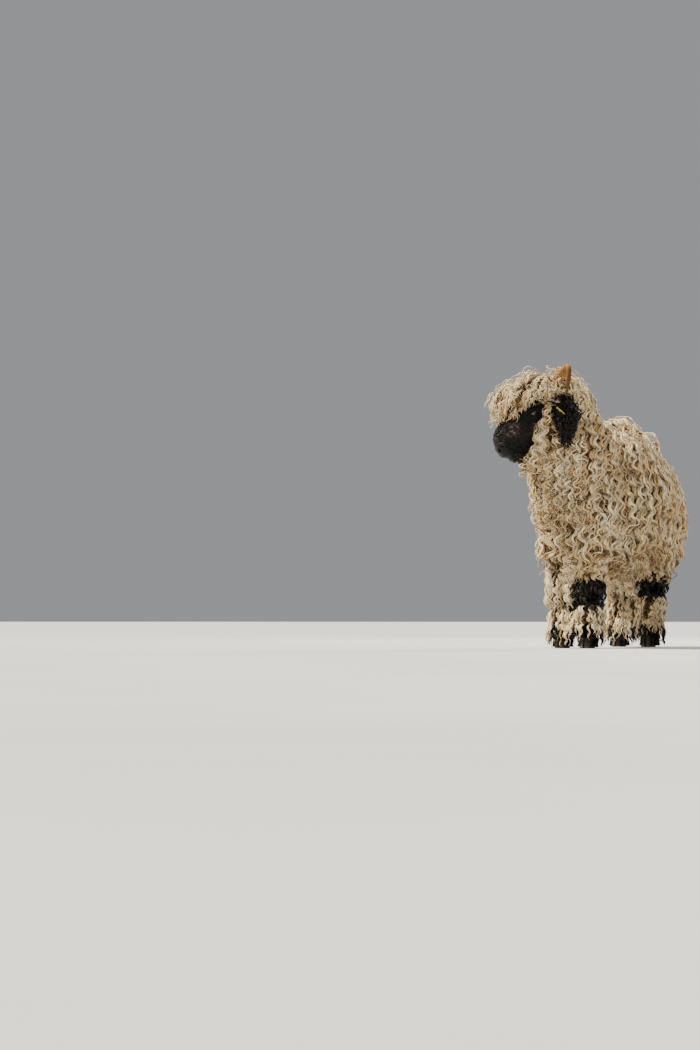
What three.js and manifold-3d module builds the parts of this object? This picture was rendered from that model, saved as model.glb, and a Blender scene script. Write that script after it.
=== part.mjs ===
// A life-size Valais Blacknose sheep, a young ewe, standing square with her head turned to her right.
// Millimetres. +Z is up, she faces -Y, and her left side is +X.
// The origin is on the ground, under the middle of her bounding box.
import * as THREE from "three";
import { mergeVertices } from "three/addons/utils/BufferGeometryUtils.js";
import Module from "manifold-3d";

const wasm = await Module();
wasm.setup();

const GAP = 0.35; // clear space between neighbouring pieces
const DOWN = new THREE.Vector3(0, 0, -1);
const UP = new THREE.Vector3(0, 0, 1);
const FORWARD = new THREE.Vector3(0, -1, 0);

// Coat: the core of the fleece lies over the skin, and the locks carry it out to the tips.
const BODY_CORE = 26;
const NECK_CORE = 24;
const HEAD_CORE = 20;
const LEG_CORE = 19;
const TAIL_CORE = 14;
const ROOT_DEPTH = 10;
const BURIED = 12; // a root this far inside another limb's core bears no lock
const LEAST_TURN = 0.35; // cosine between neighbouring steps of a lock, under which it folds

// Stance
const FRONT_FOOT_X = 50;
const FRONT_FOOT_Y = -240;
const FRONT_STAGGER = 10; // the left forefoot stands this much ahead, and the right as much behind
const HIND_FOOT_X = 56;
const HIND_FOOT_Y = 245;
const HOOF_TOP = 42;
const PASTERN_TOP = 84;
const LEG_TOP = 370;
const KNEE = { top: 236, bottom: 150 };
const HOCK = { top: 282, bottom: 186 };
const LOWEST_WOOL = 5;

// Head: its axis runs from the back of the skull to the nose, turned to her right and pitched down.
const HEAD_AT = new THREE.Vector3(12, -382, 811);
const HEAD_TURN = THREE.MathUtils.degToRad(53);
const HEAD_PITCH = THREE.MathUtils.degToRad(38);
const EYE_AT = [104, 22, 47]; // along the head, over its axis, to the side
const EYE_RADIUS = 14.5;
const TAG_AT = [38, -24, 87]; // along the head, over its axis, to the side
const TAG_SIZE = [2, 24, 34]; // along the head, to the side, over its axis
const TAG_TILT = 0.19;

// Finishes
const FLEECE = { color: 0xd9c6a0, roughness: 0.95, metalness: 0 };
const BLACK_WOOL = { color: 0x15120f, roughness: 0.9, metalness: 0 };
const FACE = { color: 0x1a1613, roughness: 0.8, metalness: 0 };
const HORN = { color: 0xb0763a, roughness: 0.5, metalness: 0 };
const HOOF = { color: 0x2a241e, roughness: 0.55, metalness: 0 };
const EYE = { color: 0x3a2210, roughness: 0.1, metalness: 0 };
const TAG = { color: 0xc9c33a, roughness: 0.45, metalness: 0 };

// A seeded random number from 0 to 1, the same on each run
function randomFrom(seed) {
  let state = seed;
  return () => {
    state = (state + 0x6d2b79f5) | 0;
    let mixed = Math.imul(state ^ (state >>> 15), 1 | state);
    mixed = (mixed + Math.imul(mixed ^ (mixed >>> 7), 61 | mixed)) ^ mixed;
    return ((mixed ^ (mixed >>> 14)) >>> 0) / 4294967296;
  };
}

// The closed geometry as a solid, with its faces turned outwards
function solidOf(geometry) {
  const bare = geometry.clone();
  bare.deleteAttribute("normal");
  bare.deleteAttribute("uv");
  const merged = mergeVertices(bare, 1e-4);
  const corners = new Uint32Array(merged.index.array);
  const vertProperties = merged.attributes.position.array;
  const build = () => new wasm.Manifold(new wasm.Mesh({ numProp: 3, vertProperties, triVerts: corners }));
  const made = build();
  if (made.volume() > 0) return made;
  for (let i = 0; i < corners.length; i += 3) {
    const second = corners[i + 1];
    corners[i + 1] = corners[i + 2];
    corners[i + 2] = second;
  }
  return build();
}

// Moves each vertex of a geometry to where place(vertex, index) says
function reshape(geometry, place) {
  const position = geometry.attributes.position;
  const vertex = new THREE.Vector3();
  for (let i = 0; i < position.count; i += 1) {
    const moved = place(vertex.fromBufferAttribute(position, i), i);
    position.setXYZ(i, moved.x, moved.y, moved.z);
  }
  return geometry;
}

const fuse = (solids) => wasm.Manifold.union(solids);
const above = (solid, z) => solid.trimByPlane([0, 0, 1], z);
const below = (solid, z) => solid.trimByPlane([0, 0, -1], -z);

function meshOf(solid, name, finish) {
  const data = solid.getMesh();
  const geometry = new THREE.BufferGeometry();
  geometry.setAttribute("position", new THREE.BufferAttribute(new Float32Array(data.vertProperties), 3));
  geometry.setIndex(new THREE.BufferAttribute(new Uint32Array(data.triVerts), 1));
  const mesh = new THREE.Mesh(geometry, new THREE.MeshStandardMaterial(finish));
  mesh.name = name;
  return mesh;
}

// A limb is an oval section swept along a smooth path. Each station is
// [x, y, z, half width, half depth], and `over` points to the depth side.
// A pear section is narrow on the over side and broad on the other.
class Limb {
  constructor(stations, over, pear = 0) {
    const centres = stations.map(([x, y, z]) => new THREE.Vector3(x, y, z));
    const sizes = stations.map((station) => new THREE.Vector3(station[3], station[4], 0));
    this.path = new THREE.CatmullRomCurve3(centres, false, "catmullrom", 0.5);
    this.sizes = new THREE.CatmullRomCurve3(sizes, false, "catmullrom", 0.5);
    this.over = over;
    this.pear = pear;
  }

  frame(share) {
    const along = this.path.getTangent(share);
    const side = new THREE.Vector3().crossVectors(along, this.over).normalize();
    const over = new THREE.Vector3().crossVectors(side, along).normalize();
    const size = this.sizes.getPoint(share);
    return { centre: this.path.getPoint(share), along, side, over, wide: size.x, deep: size.y };
  }

  // The point at a share of the path and an angle from the over side, lifted off the surface
  surface(share, angle, lift = 0) {
    const at = this.frame(share);
    const swell = 1 - this.pear * Math.cos(angle);
    const out = at.centre.clone();
    out.addScaledVector(at.side, (at.wide + lift) * swell * Math.sin(angle));
    return out.addScaledVector(at.over, (at.deep + lift) * Math.cos(angle));
  }

  outward(share, angle) {
    const step = 0.02;
    const low = Math.max(0, share - step);
    const high = Math.min(1, share + step);
    const lengthwise = this.surface(high, angle).sub(this.surface(low, angle));
    const round = this.surface(share, angle + step).sub(this.surface(share, angle - step));
    const out = new THREE.Vector3().crossVectors(lengthwise, round).normalize();
    const centre = this.frame(share).centre;
    return out.dot(this.surface(share, angle).sub(centre)) < 0 ? out.negate() : out;
  }

  // How far a point is from the lifted surface, and the way out of it
  nearest(point, lift) {
    const samples = 28;
    let best = null;
    for (let i = 0; i <= samples; i += 1) {
      const at = this.frame(i / samples);
      const offset = point.clone().sub(at.centre);
      const past = offset.dot(at.along);
      const y = offset.dot(at.over);
      const swell = 1 - this.pear * THREE.MathUtils.clamp(y / (at.deep + lift), -1, 1);
      const x = offset.dot(at.side) / swell;
      const ratio = Math.hypot(x / (at.wide + lift), y / (at.deep + lift));
      const radial = Math.hypot(x, y) * (1 - 1 / Math.max(ratio, 0.05));
      const distance = radial > 0 ? Math.hypot(radial, past) : Math.max(radial, -1) + Math.abs(past);
      if (best && distance >= best.score) continue;
      const outward = at.side.clone().multiplyScalar(x / (at.wide + lift) ** 2);
      outward.addScaledVector(at.over, y / (at.deep + lift) ** 2);
      outward.normalize();
      best = { score: distance, offset: radial > 0 ? distance : radial, outward };
    }
    return best;
  }

  // A closed body: the rows of a sphere become rings of the section, and its poles the end caps
  solid(around, rings, lift = 0) {
    const shape = new THREE.SphereGeometry(1, around, rings + 1);
    reshape(shape, (vertex, index) => {
      const row = Math.floor(index / (around + 1));
      const column = index % (around + 1);
      if (row === 0 || row === rings + 1) {
        const end = this.frame(row === 0 ? 0 : 1);
        const reach = (row === 0 ? -1 : 1) * (0.35 * Math.min(end.wide, end.deep) + lift);
        return end.centre.addScaledVector(end.along, reach);
      }
      const angle = (2 * Math.PI * (column % around)) / around;
      return this.surface((row - 1) / (rings - 1), angle, lift);
    });
    return solidOf(shape);
  }
}

// Trunk, from brisket to rump
const trunk = new Limb(
  [
    [8, -300, 500, 30, 52],
    [8, -276, 502, 68, 112],
    [8, -225, 521, 94, 179],
    [8, -120, 540, 118, 210],
    [8, 20, 545, 132, 217],
    [7, 150, 540, 134, 203],
    [6, 255, 514, 116, 160],
    [4, 332, 496, 86, 116],
    [4, 380, 486, 44, 62],
  ],
  UP,
  0.18,
);

const neck = new Limb(
  [
    [6, -232, 560, 78, 118],
    [1, -276, 640, 82, 118],
    [-6, -322, 716, 78, 106],
    [0, -336, 788, 74, 106],
    [8, -330, 856, 62, 102],
  ],
  new THREE.Vector3(0, 1, 0.6),
);

// Head axes: along to the nose, over to the brow, side to her left
const headAlong = new THREE.Vector3(
  -Math.sin(HEAD_TURN) * Math.cos(HEAD_PITCH),
  -Math.cos(HEAD_TURN) * Math.cos(HEAD_PITCH),
  -Math.sin(HEAD_PITCH),
);
const headSide = new THREE.Vector3(Math.cos(HEAD_TURN), -Math.sin(HEAD_TURN), 0);
const headOver = new THREE.Vector3().crossVectors(headAlong, headSide).normalize();
const headTurn = new THREE.Matrix4().makeBasis(headAlong, headSide, headOver);

function onHead([along, over, side]) {
  const point = HEAD_AT.clone().addScaledVector(headAlong, along);
  return point.addScaledVector(headOver, over).addScaledVector(headSide, side);
}

function mirrored([along, over, side], hand) {
  return [along, over, side * hand];
}

// Skull and muzzle: [along, height of the top line, height of the bottom line, half width]
const head = new Limb(
  [
    [-12, 34, -38, 30],
    [20, 52, -62, 52],
    [62, 66, -86, 62],
    [110, 74, -88, 61],
    [155, 71, -79, 51],
    [196, 62, -73, 43],
    [224, 48, -68, 39],
    [246, 24, -62, 35],
    [262, -2, -46, 24],
  ].map(([along, top, bottom, wide]) => {
    const centre = onHead([along, (top + bottom) / 2, 0]);
    return [centre.x, centre.y, centre.z, wide, (top - bottom) / 2];
  }),
  headOver,
);

// Legs: each is a path from inside the trunk down to the hoof
function foreleg(hand) {
  const x = hand * FRONT_FOOT_X;
  const y = FRONT_FOOT_Y - hand * FRONT_STAGGER;
  return new Limb(
    [
      [x * 1.25, y + 40, 400, 42, 58],
      [x * 1.12, y + 22, 300, 29, 36],
      [x, y + 8, 205, 24, 27],
      [x, y + 6, 165, 21, 23],
      [x, y + 8, 115, 17, 19],
      [x, y + 5, 76, 20, 23],
      [x, y, 34, 20, 24],
    ],
    FORWARD,
  );
}

function hindleg(hand) {
  const x = hand * HIND_FOOT_X;
  const y = HIND_FOOT_Y;
  return new Limb(
    [
      [x * 1.3, y - 20, 420, 52, 90],
      [x * 1.15, y + 8, 325, 38, 58],
      [x, y + 34, 242, 26, 36],
      [x, y + 26, 195, 21, 26],
      [x, y + 14, 125, 18, 21],
      [x, y + 5, 76, 21, 25],
      [x, y, 34, 20, 25],
    ],
    FORWARD,
  );
}

const legs = {
  front_left: { limb: foreleg(1), joint: "knee", band: KNEE },
  front_right: { limb: foreleg(-1), joint: "knee", band: KNEE },
  hind_left: { limb: hindleg(1), joint: "hock", band: HOCK },
  hind_right: { limb: hindleg(-1), joint: "hock", band: HOCK },
};

const tail = new Limb(
  [
    [4, 385, 620, 16, 14],
    [4, 425, 585, 17, 13],
    [4, 442, 500, 17, 12],
    [4, 438, 410, 14, 10],
    [4, 430, 345, 8, 7],
  ],
  new THREE.Vector3(0, 1, 0),
);

// What locks lie over: each limb with the depth of its core
const bodyCores = [
  [trunk, BODY_CORE],
  [neck, NECK_CORE],
  ...Object.values(legs).map((leg) => [leg.limb, LEG_CORE]),
];
const headCores = [[head, HEAD_CORE], [neck, NECK_CORE]];

function nearestCore(point, cores) {
  let best = null;
  for (const [limb, lift] of cores) {
    const found = limb.nearest(point, lift);
    if (!best || found.offset < best.offset) best = found;
  }
  return best;
}

// The frames of one lock, from its sunk root along the coat to its tip
function lockFrames(lock) {
  const { root, outward, length, rise, steps } = lock;
  const line = [root.clone().addScaledVector(outward, -ROOT_DEPTH)];
  const outs = [outward.clone()];
  const heading = lock.lie.clone().addScaledVector(outward, 0.35).normalize();
  const point = root.clone();
  for (let i = 1; i <= steps; i += 1) {
    heading.addScaledVector(DOWN, lock.droop).normalize();
    point.addScaledVector(heading, length / steps);
    const near = nearestCore(point, lock.cores);
    const wanted = (rise * i) / steps;
    if (near.offset < wanted) point.addScaledVector(near.outward, wanted - near.offset);
    const last = outs[outs.length - 1].clone();
    outs.push(last.dot(near.outward) > 0.3 ? last.lerp(near.outward, 0.25).normalize() : last);
    line.push(point.clone());
  }
  const frames = line.map((at, i) => {
    const before = line[Math.max(0, i - 1)];
    const after = line[Math.min(line.length - 1, i + 1)];
    const along = after.clone().sub(before).normalize();
    const across = new THREE.Vector3().crossVectors(along, outs[i]).normalize();
    const out = new THREE.Vector3().crossVectors(across, along).normalize();
    return { at: at.clone(), along, across, out };
  });
  frames.forEach((frame, i) => {
    const share = i / steps;
    frame.at.addScaledVector(frame.across, lock.wave * share * Math.sin(lock.phase + share * 7));
    const others = [frames[i - 1], frames[i + 1]].filter(Boolean);
    const bends = others.map((other) => Math.abs(other.along.dot(frame.across)));
    frame.room = (0.6 * length) / steps / Math.max(...bends, 0.05);
  });
  return frames;
}

// A lock folds where its line turns back
function folds(frames) {
  const steps = frames.slice(1).map((frame, i) => frame.at.clone().sub(frames[i].at).normalize());
  return steps.some((step, i) => i > 0 && step.dot(steps[i - 1]) < LEAST_TURN);
}

// One lock: a flat, tapered, waving strand of three sides.
// It is narrower where it bends sideways, so that it doesn't cross itself.
function lockSolid({ frames, width, thick, steps }, grow) {
  const shape = new THREE.ConeGeometry(1, 1, 3, steps, false);
  return solidOf(
    reshape(shape, (vertex) => {
      const step = Math.round((vertex.y + 0.5) * steps);
      const share = step / steps;
      const frame = frames[step];
      if (step === steps) return frame.at.clone().addScaledVector(frame.along, grow * 4);
      const full = Math.sin(Math.PI * (0.22 + 0.78 * share)) ** 0.7;
      const ridge = vertex.z > 0;
      const half = Math.min((width / 2) * full, frame.room);
      const sideways = ridge ? 0 : Math.sign(vertex.x) * (half + 2.5 * grow);
      const out = ridge ? thick * full + 2 * grow : -thick * 0.15 - grow;
      const place = frame.at.clone().addScaledVector(frame.across, sideways);
      return place.addScaledVector(frame.out, out);
    }),
  );
}

// Locks at a list of [share of the path, degrees from the over side, size] on a limb.
// A place inside another limb's core bears no lock, nor does one where the lock would fold.
function locksAt(limb, places, look) {
  const random = randomFrom(look.seed);
  const others = look.cores.filter(([other]) => other !== limb);
  const locks = [];
  for (const [share, degrees, size = 1] of places) {
    const at = THREE.MathUtils.clamp(share + (random() - 0.5) * look.scatter, 0, 1);
    const angle = THREE.MathUtils.degToRad(degrees + (random() - 0.5) * 5);
    const root = limb.surface(at, angle, look.core);
    const outward = limb.outward(at, angle);
    const buried = others.some(([other, lift]) => other.nearest(root, lift).offset < -BURIED);
    const push = look.push(root, outward);
    const lie = DOWN.clone().add(push);
    lie.addScaledVector(outward, -lie.dot(outward)).normalize();
    const lock = {
      root,
      outward,
      lie,
      length: look.length * size * (0.88 + 0.24 * random()),
      width: look.width * (0.9 + 0.2 * random()),
      thick: look.thick,
      rise: look.rise,
      steps: look.steps,
      wave: look.wave * (random() > 0.5 ? 1 : -1),
      phase: random() * 1.2,
      droop: look.droop,
      cores: look.cores,
    };
    lock.frames = lockFrames(lock);
    if (!buried && !folds(lock.frames)) locks.push(lock);
  }
  return locks;
}

// Evenly spaced places in a lengthwise row, on both sides of the limb
function row(limb, degrees, pitch, size, shifted) {
  const samples = 60;
  const angle = THREE.MathUtils.degToRad(degrees);
  const lengths = [0];
  for (let i = 1; i <= samples; i += 1) {
    const step = limb.surface(i / samples, angle).distanceTo(limb.surface((i - 1) / samples, angle));
    lengths.push(lengths[i - 1] + step);
  }
  const count = Math.max(1, Math.round(lengths[samples] / pitch));
  const places = [];
  for (let k = 0; k < count; k += 1) {
    const wanted = (lengths[samples] * (k + (shifted ? 0.25 : 0.75))) / count;
    const share = lengths.findIndex((length) => length >= wanted) / samples;
    places.push([share, degrees, size], [share, -degrees, size]);
  }
  return places;
}

// Evenly spaced places in a ring round the limb, between two angles
function ring(share, from, to, count, size = 1) {
  const step = (to - from) / (to - from >= 360 ? count : count - 1);
  return Array.from({ length: count }, (unused, k) => [share, from + k * step, size]);
}

const grown = (core, locks) => (grow) => fuse([core(grow), ...locks.map((lock) => lockSolid(lock, grow))]);
const spread = (root) => new THREE.Vector3(root.x > 8 ? 0.55 : -0.55, 0, 0);

// Torso: long waving locks that part at the spine and hang to a hem below the belly
const trunkLook = {
  seed: 11,
  core: BODY_CORE,
  scatter: 0.02,
  length: 172,
  width: 102,
  thick: 24,
  rise: 16,
  wave: 9,
  droop: 0.32,
  steps: 4,
  cores: bodyCores,
  push: spread,
};
const trunkPlaces = [
  ...row(trunk, 14, 112, 0.9, false),
  ...row(trunk, 46, 98, 1, true),
  ...row(trunk, 78, 96, 1, false),
  ...row(trunk, 109, 100, 0.95, true),
  ...ring(0.03, 80, 280, 4),
  ...ring(0.09, 152, 208, 2),
];
const torso = grown((grow) => trunk.solid(14, 10, BODY_CORE + grow), locksAt(trunk, trunkPlaces, trunkLook));

const neckLook = {
  seed: 23,
  core: NECK_CORE,
  scatter: 0.04,
  length: 150,
  width: 100,
  thick: 24,
  rise: 22,
  wave: 9,
  droop: 0.3,
  steps: 4,
  cores: bodyCores,
  push: spread,
};
const neckPlaces = [
  ...ring(0.16, 110, 250, 5),
  ...ring(0.36, 0, 360, 8),
  ...ring(0.62, 22, 382, 8),
  ...ring(0.84, -60, 60, 4, 0.9),
];
const neckWool = grown((grow) => neck.solid(12, 6, NECK_CORE + grow), locksAt(neck, neckPlaces, neckLook));

// The space of the head, from the back of the skull forwards and down to the jaw, which the neck leaves free
function headRoom() {
  const room = new THREE.BoxGeometry(400, 400, 300);
  room.translate(200 - 5, 0, 150 - 104);
  room.applyMatrix4(headTurn);
  room.translate(HEAD_AT.x, HEAD_AT.y, HEAD_AT.z);
  return solidOf(room);
}

// Head: skull and muzzle with orbits, lids, lips, nostrils and the line of the mouth
function ovalOnHead(at, radii, around = 10, rings = 7) {
  const shape = new THREE.SphereGeometry(1, around, rings);
  const [along, over, side] = radii;
  shape.scale(along, side, over);
  shape.applyMatrix4(headTurn);
  const centre = onHead(at);
  shape.translate(centre.x, centre.y, centre.z);
  return solidOf(shape);
}

function lidOnHead(hand) {
  const shape = new THREE.TorusGeometry(15, 4.2, 4, 10);
  shape.scale(1.08, 0.74, 1);
  shape.rotateX(Math.PI / 2);
  shape.rotateZ(hand * 0.22);
  shape.applyMatrix4(headTurn);
  const centre = onHead(mirrored([EYE_AT[0], EYE_AT[1], EYE_AT[2] + 8], hand));
  shape.translate(centre.x, centre.y, centre.z);
  return solidOf(shape);
}

function skull(grow) {
  const parts = [head.solid(16, 11, grow)];
  for (const hand of [-1, 1]) {
    parts.push(ovalOnHead(mirrored([100, 26, 42], hand), [28 + grow, 25 + grow, 19 + grow], 8, 5));
    parts.push(lidOnHead(hand));
    parts.push(ovalOnHead(mirrored([248, -20, 15], hand), [16 + grow, 16 + grow, 18 + grow], 7, 4));
  }
  parts.push(ovalOnHead([228, -54, 0], [27 + grow, 16 + grow, 25 + grow], 8, 4));
  return fuse(parts);
}

const eyeball = (hand, grow) => {
  const radius = EYE_RADIUS + grow;
  return ovalOnHead(mirrored(EYE_AT, hand), [radius, radius, radius], 10, 7);
};

function headSolid() {
  const cuts = [ovalOnHead([242, -43, 0], [46, 1.5, 60], 12, 4).subtract(skull(-4))];
  for (const hand of [-1, 1]) {
    cuts.push(eyeball(hand, GAP));
    cuts.push(ovalOnHead(mirrored([261, -8, 19], hand), [8, 6, 4.5], 7, 4));
  }
  return skull(0).subtract(fuse(cuts));
}

// Horns: short flat blades, rising behind the brow and curling out and down
const HORN_FLATNESS = 0.65; // thickness against breadth
function horn(hand) {
  const line = [
    [12, 30, 26, 21],
    [-8, 45, 34, 20],
    [-36, 59, 42, 17],
    [-64, 71, 52, 13],
    [-76, 71, 64, 10],
    [-61, 52, 74, 9],
    [-39, 31, 79, 7.5],
    [-26, 17, 80, 4.5],
  ];
  return new Limb(
    line.map(([along, over, side, size]) => {
      const centre = onHead([along, over, side * hand]);
      return [centre.x, centre.y, centre.z, size, size * HORN_FLATNESS];
    }),
    headSide,
  );
}

// Ears: a cupped leaf that hangs beside the cheek.
// Each station is [along, over, side, half width, half depth].
const EAR_LEAF = [
  [11, 10, 42, 20, 10],
  [9, -14, 68, 43, 10],
  [29, -45, 90, 51, 9],
  [58, -78, 98, 38, 8],
  [84, -105, 98, 12, 5],
];
const EAR_CUP = [
  [9, -27, 84, 18, 6],
  [26, -49, 101, 35, 10],
  [53, -73, 108, 27, 9],
  [72, -91, 110, 9, 5],
];

function leaf(stations, hand) {
  const placed = stations.map(([along, over, side, wide, deep]) => {
    const centre = onHead([along, over, side * hand]);
    return [centre.x, centre.y, centre.z, wide, deep];
  });
  return new Limb(placed, headSide.clone().multiplyScalar(hand));
}

function earSolid(hand, grow) {
  const body = leaf(EAR_LEAF, hand).solid(10, 7, grow);
  return grow > 0 ? body : body.subtract(leaf(EAR_CUP, hand).solid(8, 4));
}

// Wool of the crown, a cushion over the skull whose locks fall forward over the brow
const crown = new Limb(
  [
    [-34, 10, 40, 30],
    [-12, 34, 70, 56],
    [35, 60, 81, 58],
    [88, 82, 78, 48],
    [132, 88, 64, 42],
    [156, 84, 36, 28],
  ].map(([along, over, wide, deep]) => {
    const centre = onHead([along, over, 0]);
    return [centre.x, centre.y, centre.z, wide, deep];
  }),
  headOver,
);
const crownCores = [[crown, 0], [head, HEAD_CORE], [neck, NECK_CORE]];
const forward = headAlong.clone().multiplyScalar(1.1);
const crownLook = {
  seed: 37,
  core: 0,
  scatter: 0.03,
  length: 88,
  width: 62,
  thick: 20,
  rise: 16,
  wave: 8,
  droop: 0.26,
  steps: 4,
  cores: crownCores,
  push: () => forward,
};
const crownPlaces = [
  ...ring(0.4, -34, 34, 3),
  ...ring(0.66, -74, 74, 4),
  ...ring(0.86, -60, 60, 4, 0.85),
];
const topknot = grown((grow) => crown.solid(12, 7, grow), locksAt(crown, crownPlaces, crownLook));

// Wool of the cheeks and jaw, one piece on each side, which leaves the muzzle and the eye patch bare
const cheekLook = {
  ...crownLook,
  seed: 41,
  core: HEAD_CORE,
  length: 96,
  width: 58,
  thick: 18,
  push: () => headAlong.clone().multiplyScalar(0.1),
};

function cheekCore(hand, grow) {
  const whole = head.solid(12, 8, HEAD_CORE + grow);
  const front = headAlong.clone().multiplyScalar(-0.78).addScaledVector(headOver, -0.63);
  const rear = whole.trimByPlane(front.toArray(), front.dot(onHead([131, -12, 0])) - grow);
  const inner = headSide.clone().multiplyScalar(hand);
  const half = rear.trimByPlane(inner.toArray(), inner.dot(HEAD_AT) + GAP / 2 - grow);
  const patch = ovalOnHead(mirrored([98, 24, 66], hand), [44 - grow, 46 - grow, 40 - grow], 10, 6);
  return half.subtract(patch);
}

function cheek(hand) {
  const places = [
    ...ring(0.21, 80, 168, 3),
    ...ring(0.36, 110, 166, 2),
    ...ring(0.5, 138, 172, 2),
  ].map(([share, degrees]) => [share, degrees * -hand, 1]);
  const locks = locksAt(head, places, { ...cheekLook, seed: cheekLook.seed + hand });
  return grown((grow) => cheekCore(hand, grow), locks);
}

// Wool under the jaw
const beardLook = {
  ...cheekLook,
  seed: 47,
  core: 8,
  length: 84,
  width: 40,
  thick: 14,
  cores: [[head, 4], [neck, NECK_CORE]],
};
const beardPlaces = [...ring(0.56, 150, 210, 3), ...ring(0.7, 164, 196, 2)];
const beard = grown(
  (grow) => ovalOnHead([186, -84, 0], [44 + grow, 18 + grow, 30 + grow], 9, 6),
  locksAt(head, beardPlaces, beardLook),
);

// Legs: short wool in four bands down to the hoof
const legLook = {
  core: LEG_CORE,
  scatter: 0.02,
  length: 68,
  width: 64,
  thick: 14,
  rise: 10,
  wave: 5,
  droop: 0.5,
  steps: 2,
  push: (root, outward) => outward.clone().multiplyScalar(0.2),
};

// The share of a leg's path at a height
function shareAt(limb, height) {
  let low = 0;
  let high = 1;
  for (let i = 0; i < 20; i += 1) {
    const middle = (low + high) / 2;
    if (limb.path.getPoint(middle).z > height) low = middle;
    else high = middle;
  }
  return low;
}

function legBand(limb, top, bottom, rings, seed) {
  const cores = [[limb, LEG_CORE]];
  const places = rings.flatMap(([height, count, size, turn]) => {
    return ring(shareAt(limb, height), turn, turn + 360, count, size);
  });
  return grown((grow) => {
    const whole = limb.solid(8, 9, LEG_CORE + grow);
    return below(above(whole, bottom + GAP / 2 - grow), top - GAP / 2 + grow);
  }, locksAt(limb, places, { ...legLook, seed, cores }));
}

// Hooves: two claws with a cleft from the toe, on a flat sole
function hoof(x, y) {
  const block = new Limb(
    [
      [x, y - 8, -12, 25, 35],
      [x, y - 6, 12, 24, 33],
      [x, y - 2, 50, 19, 24],
    ],
    FORWARD,
  );
  const cleft = new THREE.BoxGeometry(4, 44, 90);
  cleft.translate(x, y - 34, 18);
  return below(above(block.solid(10, 4), 0), HOOF_TOP - GAP / 2).subtract(solidOf(cleft));
}

// Tail: long wool that hangs against the rump
const tailLook = {
  ...trunkLook,
  seed: 53,
  core: TAIL_CORE,
  length: 120,
  width: 50,
  thick: 16,
  rise: 8,
  cores: [[tail, TAIL_CORE]],
};
const tailPlaces = [...ring(0.15, -70, 70, 2), ...ring(0.4, -80, 80, 2), ...ring(0.65, -60, 60, 2)];
const tailWool = grown((grow) => tail.solid(9, 5, TAIL_CORE + grow), locksAt(tail, tailPlaces, tailLook));

// Ear tag: a flat flag clipped through the left ear, which stands out from it
function tagSolid(grow) {
  const flag = new THREE.BoxGeometry(...TAG_SIZE.map((side) => side + 2 * grow));
  flag.rotateY(TAG_TILT);
  flag.applyMatrix4(headTurn);
  const centre = onHead(TAG_AT);
  flag.translate(centre.x, centre.y, centre.z);
  return solidOf(flag);
}

// The largest closed surface of a solid: loose scraps go, and sealed hollows are filled
function largest(solid) {
  return solid.decompose().reduce((best, body) => (body.volume() > best.volume() ? body : best));
}

function boxesMeet(a, b) {
  return a.min.every((low, axis) => low < b.max[axis] && b.min[axis] < a.max[axis]);
}

// Each piece is cut clear of those placed before it, and its own space is kept free for the rest
const sheep = new THREE.Group();
const taken = [];
function place(name, finish, solid, space) {
  const near = taken.filter((other) => boxesMeet(other.boundingBox(), solid.boundingBox()));
  const cut = largest(wasm.Manifold.difference([solid, ...near]));
  const kept = largest(new wasm.Manifold(cut.getMesh()));
  sheep.add(meshOf(kept, name, finish));
  taken.push(space, kept);
}

const hands = { left: 1, right: -1 };
for (const [hand, sign] of Object.entries(hands)) {
  place(`eye_${hand}`, EYE, eyeball(sign, 0), eyeball(sign, GAP));
}
place("head", FACE, headSolid(), skull(GAP));
for (const [hand, sign] of Object.entries(hands)) {
  place(`horn_${hand}`, HORN, horn(sign).solid(8, 10), horn(sign).solid(8, 10, GAP));
}
place("ear_tag", TAG, tagSolid(0), tagSolid(GAP));
for (const [hand, sign] of Object.entries(hands)) {
  place(`ear_${hand}`, BLACK_WOOL, earSolid(sign, 0), earSolid(sign, GAP));
}
place("topknot", FLEECE, topknot(0), topknot(GAP));
for (const [hand, sign] of Object.entries(hands)) {
  const wool = cheek(sign);
  place(`cheek_${hand}`, FLEECE, wool(0), wool(GAP));
}
place("beard", FLEECE, beard(0), beard(GAP));
place("neck", FLEECE, neckWool(0).subtract(headRoom()), neckWool(GAP));
place("torso", FLEECE, torso(0), torso(GAP));
place("tail", FLEECE, tailWool(0), tailWool(GAP));
Object.entries(legs).forEach(([name, { limb, joint, band }], index) => {
  const seed = 60 + index * 10;
  const bands = [
    [`leg_${name}`, FLEECE, LEG_TOP, band.top, [[band.top + 34, 4, 0.9, 0]]],
    [`${joint}_${name}`, BLACK_WOOL, band.top, band.bottom, [[band.top - 16, 4, 1, 45]]],
    [`shank_${name}`, FLEECE, band.bottom, PASTERN_TOP, [[band.bottom - 12, 4, 0.9, 0]]],
    [`pastern_${name}`, BLACK_WOOL, PASTERN_TOP, HOOF_TOP, [[PASTERN_TOP - 8, 4, 0.8, 45]]],
  ];
  bands.forEach(([node, finish, top, bottom, rings], k) => {
    const wool = legBand(limb, top, bottom, rings, seed + k);
    place(node, finish, above(wool(0), LOWEST_WOOL), wool(GAP));
  });
  const foot = limb.path.getPoint(1);
  place(`hoof_${name}`, HOOF, hoof(foot.x, foot.y), hoof(foot.x, foot.y));
});

const box = new THREE.Box3().setFromObject(sheep, true);
const middle = box.getCenter(new THREE.Vector3());
sheep.position.set(-middle.x, -middle.y, 0);

export default sheep;
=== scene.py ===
# A life-size Valais Blacknose ewe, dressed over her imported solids: one skin, a coat of curled
# locks, eyes with lids, ridged horns, cloven hooves and a blank ear tag. Metres, +Z up, she faces -Y.
import math
from dataclasses import dataclass, replace

import bpy
import numpy as np
from mathutils import Matrix, Vector, noise
from mathutils.bvhtree import BVHTree


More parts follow.
